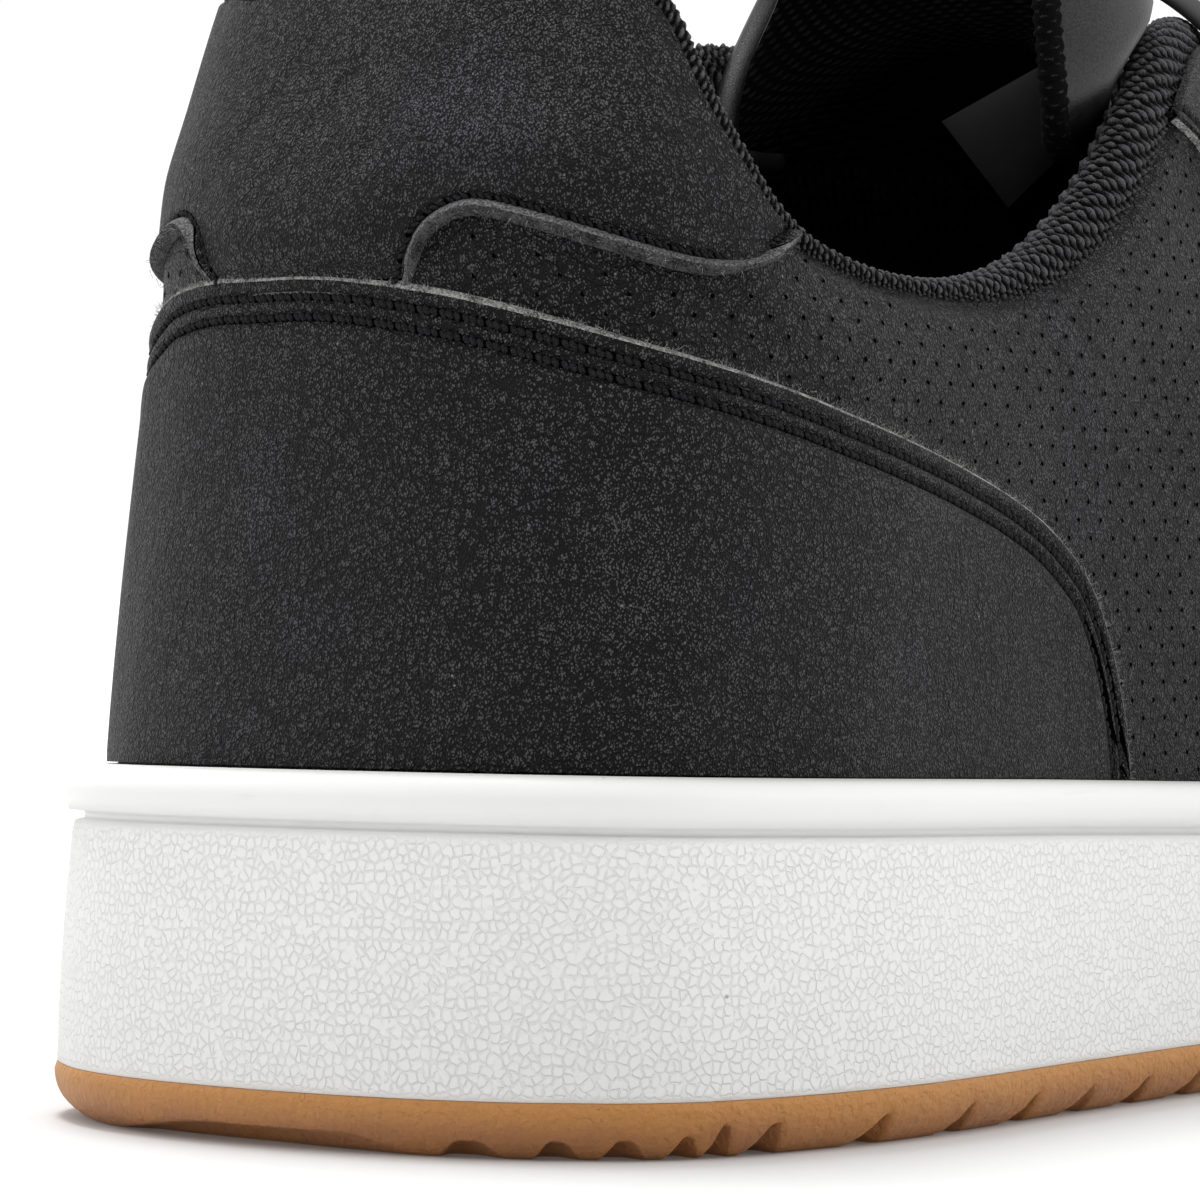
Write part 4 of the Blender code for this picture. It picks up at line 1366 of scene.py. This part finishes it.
class SNEAKER_OT_heel_pieces(bpy.types.Operator):
    """Builds the heel counter and the collar panel with their cut edges and stitches"""

    bl_idname = "sneaker.heel_pieces"
    bl_label = "Heel counter and collar panel"

    def execute(self, context):
        # The groove look is a near-black painted shade along the stitch grooves.
        groove = named("hole", painted_shade_look)
        leathers = [named("heel_leather", leather), named("raw_edge", raw_leather), groove]
        edge = counter_path() - (0, RAW_RIM)
        lengths = np.linspace(edge[0, 0], edge[-1, 0], len(edge))
        base = np.stack([lengths, bead_at(station_of(lengths)) + 0.05], -1)
        edge[:, 1] = np.maximum(edge[:, 1], bead_at(station_of(edge[:, 0])) + 0.05)
        on_counter = Overlay([edge], counter_profile, counter_fit)
        counter = sewn_overlay(
            "heel_counter_leather", edge, base, overlay_rows(34), on_counter, leathers,
            RAW_RIM, COUNTER_ROWS, 0.36)
        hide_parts("heel_counter")
        inner, outer = panel_sides()
        on_panel = Overlay([inner, outer], panel_profile, panel_fit)
        under = np.linspace(inner[0], outer[0], 56)[1:-1]
        lower = np.concatenate([inner[::-1], under, outer])
        around = np.linspace(*station_of(lower[[0, -1], 0]), len(lower))
        top = np.stack([length_at(around), collar_edge(around) - 0.1], -1)
        top[:, 1] = np.maximum(top[:, 1], lower[:, 1] + 0.05)
        # The panel's margin rows take the pale lip look, a painted highlight.
        panel = sewn_overlay(
            "collar_panel_leather", lower, top, overlay_rows(26), on_panel,
            # The panel's cut edge takes a near-black painted shade.
            [leathers[0], named("panel_edge", painted_shade_edge), groove, named("panel_lip", painted_highlight_lip)], -0.6,
            (PANEL_ROW,), 0.2, lip_rows=5)
        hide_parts("collar_panel")
        down, left, right = side_normals(edge, False), side_normals(inner, False), side_normals(outer, True)
        counter_rows = [edge + down * row for row in COUNTER_ROWS]
        stitch_rows("counter_stitches", counter_rows, on_counter, looks().thread_width, 0.2)
        panel_rows = [inner + left * PANEL_ROW, outer + right * PANEL_ROW]
        stitch_rows("panel_stitches", panel_rows, on_panel, PANEL_THREAD * METRES, 0.3)
        fibres("edge_fibres", [
            (edge, -down, on_counter, 3.2), (inner, -left, on_panel, 1.1), (outer, -right, on_panel, 1.1)])
        return {"FINISHED"}


def stitch_rows(name, paths, height, width, proud):
    """Rows of heavy twisted stitches, each sunk in its groove."""
    points, outward = [], []
    for path in paths:
        line = evenly(path, looks().stitch / METRES / 2)
        line = line[line[:, 1] > bead_at(station_of(line[:, 0])) + 0.6]
        out = height(line) + proud
        row = skin(line, out)
        points.append(row)
        outward.append(skin(line, out + 1) - row)
    stitched(name, points, outward, width / METRES)


def thread_turn(bm):
    bmesh.ops.create_uvsphere(
        bm, u_segments=6, v_segments=5, radius=1, matrix=Matrix.Rotation(math.pi / 2, 4, "Y"))


THREAD_LEAN = 34.0


def stitched(name, rows, outwards, wide):
    """Stitches along rows of points half a stitch apart: turns of thread between needle holes, which are
    near-black blobs of painted shade.
    """
    turns, spots, pit_shade_turns, holes = [], [], [], []
    lean = math.radians(THREAD_LEAN)
    for points, outward in zip(rows, outwards):
        run = points[2::2] - points[:-2:2]
        middle = points[1:-1:2]
        long = np.linalg.norm(run, axis=1)[:, None]
        ahead = run / long
        side = unit(np.cross(ahead, outward[1:-1:2]))
        out = np.cross(side, ahead)
        along_thread = ahead * math.cos(lean) + side * math.sin(lean)
        across = np.cross(out, along_thread)
        for place in (-0.3, 0.0, 0.3):
            spots.append(middle + ahead * long * place - out * wide * 1.6 * place ** 2)
            turns.append(np.stack([along_thread * long * 0.21, across * wide * 0.44, out * wide * 0.44], 1))
        # Needle holes as small near-black blobs just under the leather: painted shade.
        holes.append(middle - run / 2 - out * 0.12)
        pit_shade_turns.append(np.stack([ahead * wide * 0.5, side * wide * 0.55, out * 0.12], 1))
    shape = template(thread_turn)
    thread = scattered(
        name, shape, np.concatenate(turns), np.concatenate(spots), [named("thread", thread_look)])
    pits = scattered(
        name + "_holes", shape, np.concatenate(pit_shade_turns), np.concatenate(holes), [named("hole", painted_shade_look)])


def fibre_spike(bm):
    bmesh.ops.create_cone(
        bm, segments=3, radius1=1.0, radius2=0.35, depth=1.0, cap_ends=False, cap_tris=False)


def fibres(name, edges):
    """Short loose fibres along the raw edges."""
    rng = np.random.default_rng(7)
    turns, spots = [], []
    for path, away, height, density in edges:
        count = int(len(path) * density)
        spot = rng.integers(1, len(path) - 1, count)
        root = path[spot] + away[spot] * rng.uniform(0.0, 0.45, (count, 1)) + rng.normal(0, 0.12, (count, 2))
        tip = root + away[spot] * rng.uniform(0.02, 0.3, (count, 1)) + rng.normal(0, 0.2, (count, 2))
        out = height(path[spot])
        start = skin(root, out * rng.uniform(0.5, 1.05, count))
        run = skin(tip, out * rng.uniform(0.5, 1.35, count)) - start
        side = unit(np.cross(run, SLANTED))
        turns.append(np.stack([side * 0.03, unit(np.cross(run, side)) * 0.03, run], 1))
        spots.append(start + run / 2)
    made = scattered(
        name, template(fibre_spike), np.concatenate(turns), np.concatenate(spots),
        [named("fibre", fibre_look)])


def fibre_look(name):
    look = Look(name, roughness=0.95, Specular_IOR_Level=0.2)
    return speckled(look, 0.8, 2.0, (0.10, 0.10, 0.10), (0.42, 0.42, 0.40))


# The collar

KNIT_END = 6.95
KNIT_INNER_END = 6.4
KNIT_STEP = 0.2
KNIT_PITCH = ((0, 0.7), (4.0, 0.7), (5.0, 0.85), (6.95, 0.95))
KNIT_LOFT = ((0, 0.42), (4.0, 0.42), (5.0, 0.68), (5.6, 0.85), (6.95, 0.75))
KNIT_PADDING = ((0, 6.5), (3, 6.5), (5, 4.4), (KNIT_END, 2.2))

# The roll's section from the leather over the top to the inside, each row a share, a height and a depth
KNIT_SECTION = np.array((
    (0.00, -3.5, -1.6), (0.06, -1.2, -1.5), (0.12, 0.0, -0.9), (0.22, 0.35, -0.35),
    (0.34, 0.75, -0.55), (0.46, 1.0, -1.7), (0.58, 0.85, -3.0), (0.70, 0.3, -4.0),
    (0.82, -1.6, -4.4), (1.00, -9.0, -3.6),
))


class SNEAKER_OT_collar(bpy.types.Operator):
    """Builds the padded knit collar with its ribbed roll above the leather edge"""

    bl_idname = "sneaker.collar"
    bl_label = "Knit collar"

    def execute(self, context):
        around = np.linspace(-KNIT_INNER_END, KNIT_END, 3000)
        path = evenly(np.stack([length_at(around), collar_edge(around)], -1), KNIT_STEP)
        station = station_of(path[:, 0])
        taper = 0.25 + 0.75 * smooth(KNIT_INNER_END, KNIT_INNER_END - 0.4, -station)
        rise = (flow(KNIT_RISE, np.abs(station)) * taper)[:, None]
        padding = flow(KNIT_PADDING, np.abs(station))[:, None]
        turn = np.linspace(0, 1, 56)[None]
        up, depth = (np.interp(turn, KNIT_SECTION[:, 0], KNIT_SECTION[:, k]) for k in (1, 2))
        smoothed(up.T, 4, 2)
        smoothed(depth.T, 4, 2)
        high = np.where(up > 0, up * rise, up)
        out = np.where(depth < -2, -2 + (depth + 2) * padding / 2.4, depth)
        pushed = flow(KNIT_PUSH, np.abs(station))[:, None]
        out = out + pushed * smooth(0.05, 0.2, turn) * smooth(0.75, 0.5, turn)
        square = side_normals(path, True)
        smoothed(square, 60)
        square = unit(square)
        flat = path[:, None] + square[:, None] * high[..., None]
        points = skin(flat, np.broadcast_to(out, flat.shape[:-1]))
        length = np.arange(len(path))[:, None] * KNIT_STEP
        slope = path_lengths(points[len(points) // 2])
        pitch = flow(KNIT_PITCH, np.abs(station))[:, None]
        uneven = 0.12 * np.sin(length * 1.7) + 0.1 * np.sin(length * 0.63 + slope[None] * 1.3)
        ribs = np.cumsum(0.9 * KNIT_STEP / pitch, axis=0)
        slant = ribs + slope[None] * 0.62 * np.sign(station)[:, None] + uneven
        rib = np.abs(np.sin(slant * math.pi))
        bead = 0.5 + 0.5 * np.sin(slope[None] * 2 * math.pi / 0.8 + np.floor(slant) * 2.2)
        loft = rib * (0.55 + 0.45 * bead)
        deep = flow(KNIT_LOFT, np.abs(station))[:, None]
        raised = deep * loft * smooth(0.0, 0.12, turn) * smooth(1.0, 0.8, turn)
        normals = grid_normals(points)
        away = points - points.mean(1, keepdims=True)
        sign = np.sign((normals * away).sum(-1, keepdims=True).sum())
        points = points + normals * sign * raised[..., None]
        # The rib heights are also the marks by which the knit look paints highlights on the rib tops and
        # shade in the gaps.
        made = sheet(
            "knit_collar", points, [named("collar_knit", knit_look)],
            flat=together(length, slope[None]), marks=loft)
        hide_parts("collar_lining")
        return {"FINISHED"}


# Tongue, lacing and footbed

def station_at(x):
    """The station whose section faces the spine at x, ahead of the heel."""
    rows = np.arange(4, 12)
    return np.interp(x, [STATIONS[k].spine_x for k in rows], rows)


def over_throat(x, across, out):
    """Points over the throat by place along the spine and signed distance across."""
    x, across, out = np.broadcast_arrays(np.asarray(x, float), across, out)
    station = station_at(x)
    around = np.where(across < 0, station, -station)
    crown = section(around)[1][3]
    points = upper_at(around, part_where(around, 0, np.maximum(np.abs(across), crown)), out)
    points[..., 1] = np.where(np.abs(across) < crown, spine(station)[1] + across, points[..., 1])
    return points


TONGUE_COLUMNS = 41
TURN_ROWS = slice(23, 41)


def tongue_faces(across):
    """The tongue's outer and inner faces, from its sewn end up to its free end."""
    x = np.linspace(TONGUE_BOTTOM, TONGUE_TURN, 30)[:, None]
    share = across[None]
    grown = (TONGUE_BOTTOM - x) / (TONGUE_BOTTOM - TONGUE_TURN)
    place = share * flow(TONGUE_HALF, x)
    near_collar = np.clip((152 - x) / 20, 0, 1)
    tucked = np.clip((np.abs(place) - throat_half(np.minimum(x, 192)) + 4) / 5, 0, 1)
    depth = UPPER_WALL + 1.0 + 3.6 * tucked * near_collar + np.maximum(0, (x - 186) / 20)
    between = np.clip(np.abs(place) / throat_half(np.minimum(x, 192)), 0, 1)
    depth = depth - TONGUE_PUFF * (1 - between ** 2) * smooth(206, 186, x)
    thick = 1.2 + (2.3 + 3.0 * grown) * (1 - np.abs(share) ** 4)
    low_front = over_throat(x, place, -depth)
    low_back = over_throat(x, place, -depth - thick)
    rung = np.linspace(0, len(TONGUE_RISE) - 1, 46)[:, None]
    table = {
        name: flow(list(enumerate(getattr(row, name) for row in TONGUE_RISE)), rung) for name in Rise._fields
    }
    share = np.where(share > 0, share * flow(TONGUE_INNER, rung), share)
    side = np.abs(share)
    bent = 1 - np.cos(side * math.pi / 2)
    reach = np.sin(share * math.pi / 2)
    reach = reach * np.where(share > 0, flow(TONGUE_INNER_HALF, rung), 1 - TONGUE_CURL * side ** 6)
    corner = TONGUE_CORNER * smooth(3.4, 5.0, rung) * np.abs(across[None]) ** 4
    front = together(
        table["x"] - table["wrap"] * bent, table["half"] * reach,
        table["z"] - table["drop"] * bent - corner)
    thick = 1.5 + (table["padding"] - 1.5) * (1 - side ** 4)
    inward = together(-0.75 + 0.35 * side, -0.6 * share, -0.65 + 0.35 * side)
    recess = TONGUE_RECESS * smooth(-0.92, -0.76, share) * smooth(0.0, -0.45, share) * smooth(1.5, 0.5, rung)
    front[..., 1] += recess
    back = front + inward * thick[..., None]
    outer, inner = np.concatenate([low_front, front]), np.concatenate([low_back, back])
    for face in (outer, inner):
        smoothed(face[TURN_ROWS], 6, 2)
    return outer, inner


LABEL_CORNERS = ((28.7, 34.4), (30.8, 16.5), (24.8, 30.0), (24.7, 39.7))


class SNEAKER_OT_tongue(bpy.types.Operator):
    """Builds the padded tongue with its leather face, mesh back, knit binding and plain label"""

    bl_idname = "sneaker.tongue"
    bl_label = "Tongue"

    def execute(self, context):
        across = np.linspace(-1, 1, TONGUE_COLUMNS)
        outer, inner = tongue_faces(across)
        ring = np.concatenate([outer, inner[:, ::-1], outer[:, :1]], axis=1)
        length = np.arange(len(ring))[:, None] * 1.7
        width = np.concatenate([across * 22, across[::-1] * 22, across[:1] * 22])[None]
        row_looks = [0] * TONGUE_COLUMNS + [1] * (TONGUE_COLUMNS + 1)
        made = sheet(
            "tongue_body", capped_ends(ring),
            [named("tongue_leather", smooth_leather), named("lining_mesh", mesh_look)],
            flat=together(width, np.concatenate([length[:1], length, length[-1:]])),
            row_looks=row_looks, solid=True)
        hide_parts("tongue")
        rim = (outer + inner) / 2
        knit_rim = np.concatenate([rim[29:, 0], rim[-1, 1:-1]])
        self.add_roll("tongue_binding", knit_rim, 1.3, 0.16, "collar_knit", knit_look)
        self.add_roll("tongue_edge", rim[:30:-1, -1], 1.45, 0.0, "tongue_leather", smooth_leather)
        self.add_label(inner)
        return {"FINISHED"}

    def add_roll(self, name, path, radius, bead, look, make):
        """A rolled edge along a path, beaded where it is knit."""
        path = evenly(path, 0.5)
        smoothed(path, 8)
        round_path = radius + bead * np.sin(np.arange(len(path)) * 2 * math.pi / 2.6)
        points = capped_ends(tube(path, round_path, 14))
        # Marks in a twisted braid pattern along the beads, by which the knit look paints highlights and shade
        # on the binding.
        braid = np.arange(len(points))[:, None] * 2.4 + np.arange(points.shape[1])[None] * 1.35
        made = sheet(name, points, [named(look, make)], solid=True, marks=0.25 + 0.4 * np.sin(braid))

    def add_label(self, inner):
        """A plain label across the hollow of the tongue's inner face, its corners by rows and columns."""
        corners = []
        for row, column in LABEL_CORNERS:
            low, left = int(row), int(column)
            up, side = row - low, column - left
            below = inner[low, left] * (1 - side) + inner[low, left + 1] * side
            above = inner[low + 1, left] * (1 - side) + inner[low + 1, left + 1] * side
            corners.append(below * (1 - up) + above * up)
        top_left, top_right, low_right, low_left = corners
        grid = np.meshgrid(np.linspace(0, 1, 13), np.linspace(0, 1, 9), indexing="ij")
        across, down = grid[0][..., None], grid[1][..., None]
        top = top_left + (top_right - top_left) * across
        low = low_left + (low_right - low_left) * across
        patch = top + (low - top) * down
        normals = grid_normals(patch)
        sign = np.sign((normals.mean((0, 1)) * (np.array((60.0, -20.0, 70)) - patch.mean((0, 1)))).sum())
        raised = np.full(patch.shape[:2], 0.4)
        raised[[0, -1]] = 0.05
        raised[:, [0, -1]] = 0.05
        label = sheet(
            "tongue_label", patch + normals * sign * raised[..., None], [named("label", label_look)])
        if sign < 0:
            label.data.flip_normals()


def along_surface(x, side, below, out):
    """Points below the throat's edge on one side, by distance down the surface."""
    x = np.atleast_1d(np.asarray(x, float))
    around = station_at(x) * side
    top = upper_top(around)
    share = np.linspace(1, 0.2, 80)
    line = upper_at(around[:, None], top[:, None] * share[None])
    steps = np.linalg.norm(np.diff(line, axis=1), axis=2)
    place = np.concatenate([np.zeros((len(x), 1)), np.cumsum(steps, axis=1)], axis=1)
    below = np.broadcast_to(below, (len(x),) + np.shape(below)[1:])
    part = np.stack([np.interp(want, row, share) for want, row in zip(below, place)]) * top[:, None]
    return upper_at(around[:, None], part, out)


# The eyestay's width below the throat and, past EYESTAY_TURN, how far out it reaches, by place along the shoe
EYESTAY_WIDTH = ((100.5, 0.3), (104, 4.6), (108, 10.4), (112, 14.6), (118, 16.2), (130, 17.0), (170, 17.0))
EYESTAY_REACH = (
    (170, 33.4), (182, 31.6), (192, 29.6), (200, 26.6), (207, 22.3), (213, 16.8), (218, 10.2),
    (221, 0.5),
)
EYESTAY_TURN = 170.0
EYELET_BELOW = 7.0


class SNEAKER_OT_lacing(bpy.types.Operator):
    """Builds the eyestays, their stitches and eyelets, and the laces through them"""

    bl_idname = "sneaker.lacing"
    bl_label = "Lacing"

    def execute(self, context):
        self.add_eyestays()
        self.add_eyelets()
        self.add_laces()
        return {"FINISHED"}

    def add_eyestays(self):
        x = spread((100.5, 114, 50), (114, 190, 110), (190, 221, 80))
        past_turn = flow(EYESTAY_REACH, x) - throat_half(np.minimum(x, THROAT_END))
        wide = np.where(x < EYESTAY_TURN, flow(EYESTAY_WIDTH, x), past_turn)[:, None]
        rows = np.concatenate(
            [[0.0, 0.01, 0.03], np.linspace(0.06, 0.8, 22), np.linspace(0.82, 1.0, 16)])[None]
        below = wide * rows
        from_edge = wide - below
        out = 1.05 - 0.4 * hump(from_edge, 1.6, 0.4) - 0.3 * smooth(0.3, 0.0, from_edge)
        out = np.concatenate([np.zeros((len(x), 1)), out[:, 1:]], axis=1)
        for side, name in ((1, "eyestay_outer"), (-1, "eyestay_inner")):
            points = along_surface(x, side, below, out)
            cut = along_surface(x, side, wide + 0.15, np.full(wide.shape, 0.02))
            points = np.concatenate([points, cut], axis=1)
            row_looks = [0] * (points.shape[1] - 2) + [1, 1]
            made = sheet(
                name, points, [named("heel_leather", leather), named("raw_edge", raw_leather)],
                row_looks=row_looks, inside=off_spine)
            self.add_stitches(name + "_stitches", x, side, wide)

    def add_stitches(self, name, x, side, wide):
        below = np.maximum(wide - 1.6, 0.2)
        line = along_surface(x, side, below, np.full(wide.shape, 0.8))[:, 0]
        above = along_surface(x, side, below, np.full(wide.shape, 1.8))[:, 0]
        both = evenly(np.concatenate([line, above], axis=1), looks().stitch / METRES / math.sqrt(2))
        stitched(name, [both[:, :3]], [both[:, 3:] - both[:, :3]], looks().thread_width / METRES)

    def add_eyelets(self):
        for side, name in ((1, "eyelets_outer"), (-1, "eyelets_inner")):
            bm = bmesh.new()
            for k in range(LACE_ROWS):
                x = LACE_FIRST + LACE_PITCH * k
                spots = along_surface([x, x + 1], side, np.array([[EYELET_BELOW, EYELET_BELOW + 1]] * 2), 1.1)
                centre, ahead, down = spots[0, 0], spots[1, 0] - spots[0, 0], spots[0, 1] - spots[0, 0]
                ahead = Vector(ahead).normalized()
                up = Vector(down).cross(ahead).normalized() * -side
                down = up.cross(ahead).normalized()
                turned = Matrix((ahead, down, up)).transposed().to_4x4()
                ring = bmesh.ops.create_circle(bm, cap_ends=False, radius=0.55 * METRES, segments=8)["verts"]
                edges = list({edge for vert in ring for edge in vert.link_edges})
                bmesh.ops.rotate(bm, verts=ring, matrix=Matrix.Rotation(math.pi / 2, 3, "X"))
                bmesh.ops.translate(bm, verts=ring, vec=(2.1 * METRES, 0, 0))
                bmesh.ops.spin(
                    bm, geom=ring + edges, axis=(0, 0, 1), cent=(0, 0, 0), angle=2 * math.pi, steps=24,
                    use_merge=True, use_duplicate=False)
                verts = self.connected(ring)
                bmesh.ops.transform(
                    bm, verts=verts, matrix=Matrix.Translation(Vector(placed(centre))) @ turned)
            bmesh.ops.remove_doubles(bm, verts=bm.verts, dist=1e-7)
            made = piece(name, bm, [named("eyelet", eyelet_look)], solid=True)

    def connected(self, verts):
        """All vertices joined to some vertices by edges."""
        found, waiting = set(verts), list(verts)
        while waiting:
            for edge in waiting.pop().link_edges:
                for vert in edge.verts:
                    if vert not in found:
                        found.add(vert)
                        waiting.append(vert)
        return list(found)

    def add_laces(self):
        """One flat bar of lace across each pair of eyelets, pinched where it dives into them."""
        loop_turn = np.linspace(0, 2 * math.pi, 17)
        for k in range(LACE_ROWS):
            x = LACE_FIRST + LACE_PITCH * k
            half = float(throat_half(min(x, LACE_FULL)))
            across = np.linspace(-half, half, 33)
            middle = over_throat(x, across, 1.1 + 0.9 * (across / half) ** 4)
            down = np.array([[1.5, 3.0, 4.5, 5.8, 6.8, 7.2]])
            out = np.array([[1.75, 1.8, 1.85, 1.8, 1.0, -1.4]])
            outer = along_surface(x, 1, down, out)[0]
            inner = along_surface(x, -1, down, out)[0]
            path = evenly(np.concatenate([outer[::-1], middle, inner]), LACE_STEP)
            smoothed(path, 4)
            place = np.linspace(-1, 1, len(path))
            wide = 3.0 - 1.3 * smooth(0.84, 0.97, np.abs(place))
            thick = 0.75 + 0.25 * smooth(0.84, 0.97, np.abs(place))
            ahead = unit(np.gradient(path, axis=0))
            side = np.tile((1.0, 0, 0), (len(path), 1))
            side = unit(side - (side * ahead).sum(1)[:, None] * ahead)
            up = np.cross(side, ahead)
            flatten = np.sign(np.cos(loop_turn)) * np.abs(np.cos(loop_turn)) ** 0.55
            rise = np.sign(np.sin(loop_turn)) * np.abs(np.sin(loop_turn)) ** 0.8
            ring = (
                path[:, None] + side[:, None] * (wide[:, None] * flatten)[..., None]
                + up[:, None] * (thick[:, None] * rise)[..., None]
            )
            flat = together(np.arange(len(path))[:, None] * LACE_STEP, (flatten * 3.4)[None])
            flat = np.concatenate([flat[:1], flat, flat[-1:]])
            made = sheet(
                f"lace_{k + 1}", capped_ends(ring), [named("lace", woven_lace)], flat=flat, solid=True)
            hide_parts(f"lace_bar_{k + 1}")


class SNEAKER_OT_footbed(bpy.types.Operator):
    """Builds the footbed with its soft edge and heel cup"""

    bl_idname = "sneaker.footbed"
    bl_label = "Footbed"

    def execute(self, context):
        edge = CUP_WALL + FOOT_GAP + UPPER_WALL + 0.6

        def over(rise):
            return lambda x: cup_floor(x) + FOOT_GAP + rise

        rows = (
            (None, 0), (edge + 6, 0), (edge, 0), (edge, 3.0), (edge + 0.4, 3.7), (edge + 1.4, 4.1),
            (edge + 4, 4.2), (edge + 10, 4.0), (edge + 18, 3.9), (None, 3.9),
        )
        points = swept([(inset, over(rise)) for inset, rise in rows])[::2]
        flat = points[..., :2]
        made = sheet("footbed", points, [named("lining_mesh", mesh_look)], flat=flat, solid=True)
        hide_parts("insole")
        return {"FINISHED"}


# The stage

CAMERA_PLACE = (-353.37, -281.92, 46.28)
CAMERA_TURN = 54.8
CAMERA_PITCH = -0.151
CAMERA_LENS = 5500.45 / 1200 * 36

# The soft lights: name, place, target, size and watts
LIGHTS = (
    ("key", (-0.75, -0.45, 1.05), (-0.10, 0, 0.05), 0.8, 3.4),
    ("side", (-0.9, 0.45, 0.45), (-0.12, 0, 0.06), 0.5, 0.8),
    ("front", (0.35, -1.0, 0.75), (-0.02, 0, 0.05), 0.7, 2.9),
    ("top", (0.0, 0.24, 1.1), (-0.10, 0, 0.05), 0.3, 9.0),
)


class SNEAKER_OT_stage(bpy.types.Operator):
    """Sets out the floor, the soft studio lights and the camera"""

    bl_idname = "sneaker.stage"
    bl_label = "Stage"

    def execute(self, context):
        scene = context.scene
        bm = bmesh.new()
        bmesh.ops.create_grid(bm, x_segments=8, y_segments=8, size=12)
        mesh = bpy.data.meshes.new("floor")
        bm.to_mesh(mesh)
        bm.free()
        mesh.materials.append(named("floor", floor_look))
        floor = bpy.data.objects.new("floor", mesh)
        scene.collection.objects.link(floor)
        world = bpy.data.worlds.new("studio")
        world.use_nodes = True
        self.light_room(world.node_tree)
        scene.world = world
        scene.view_settings.view_transform = "Standard"
        for light in LIGHTS:
            self.add_light(*light)
        camera = bpy.data.objects.new("camera", bpy.data.cameras.new("camera"))
        camera.data.sensor_width = 36
        camera.data.lens = CAMERA_LENS
        camera.data.clip_start = 0.01
        turn, pitch = math.radians(CAMERA_TURN), math.radians(CAMERA_PITCH)
        ahead = Vector((math.sin(turn) * math.cos(pitch), math.cos(turn) * math.cos(pitch), math.sin(pitch)))
        camera.location = placed(CAMERA_PLACE)
        camera.rotation_euler = ahead.to_track_quat("-Z", "Y").to_euler()
        scene.collection.objects.link(camera)
        scene.camera = camera
        return {"FINISHED"}

    def light_room(self, tree):
        """A white room that is darker on the camera's side, so that glossy leather keeps its depth."""
        turn = math.radians(CAMERA_TURN)
        toward = tree.nodes.new("ShaderNodeVectorMath")
        toward.operation = "DOT_PRODUCT"
        toward.inputs[1].default_value = (math.sin(turn), math.cos(turn), 0.35)
        spot = tree.nodes.new("ShaderNodeTexCoord")
        tree.links.new(spot.outputs["Generated"], toward.inputs[0])
        fade = tree.nodes.new("ShaderNodeMapRange")
        fade.interpolation_type = "SMOOTHSTEP"
        for socket, value in (("From Min", -0.8), ("From Max", 0.35), ("To Min", 0.22), ("To Max", 1.05)):
            fade.inputs[socket].default_value = value
        tree.links.new(toward.outputs["Value"], fade.inputs["Value"])
        tree.nodes["Background"].inputs["Color"].default_value = (1, 1, 1, 1)
        tree.links.new(fade.outputs["Result"], tree.nodes["Background"].inputs["Strength"])

    def add_light(self, name, place, target, size, watts):
        light = bpy.data.lights.new(name, "AREA")
        light.size = size
        light.energy = watts
        lamp = bpy.data.objects.new(name, light)
        lamp.location = place
        lamp.rotation_euler = (Vector(target) - Vector(place)).to_track_quat("-Z", "Y").to_euler()
        bpy.context.scene.collection.objects.link(lamp)


class SNEAKER_PT_panel(bpy.types.Panel):
    """Lists the sneaker's sizes and pieces"""

    bl_idname = "SNEAKER_PT_panel"
    bl_label = "Sneaker"
    bl_space_type = "VIEW_3D"
    bl_region_type = "UI"
    bl_category = "Sneaker"

    def draw(self, context):
        for name in SneakerLooks.__annotations__:
            self.layout.prop(context.scene.sneaker_looks, name)
        for operator in OPERATORS:
            self.layout.operator(operator.bl_idname)


OPERATORS = (
    SNEAKER_OT_stage, SNEAKER_OT_cupsole, SNEAKER_OT_tread, SNEAKER_OT_upper, SNEAKER_OT_heel_pieces,
    SNEAKER_OT_collar, SNEAKER_OT_tongue, SNEAKER_OT_lacing, SNEAKER_OT_footbed,
)
CLASSES = (SneakerLooks, *OPERATORS, SNEAKER_PT_panel)


def register():
    for cls in CLASSES:
        bpy.utils.register_class(cls)
    bpy.types.Scene.sneaker_looks = bpy.props.PointerProperty(type=SneakerLooks)


def unregister():
    del bpy.types.Scene.sneaker_looks
    for cls in reversed(CLASSES):
        bpy.utils.unregister_class(cls)


def main():
    register()
    for operator in OPERATORS:
        group, name = operator.bl_idname.split(".")
        getattr(getattr(bpy.ops, group), name)()
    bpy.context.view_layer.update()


if __name__ == "__main__":
    main()
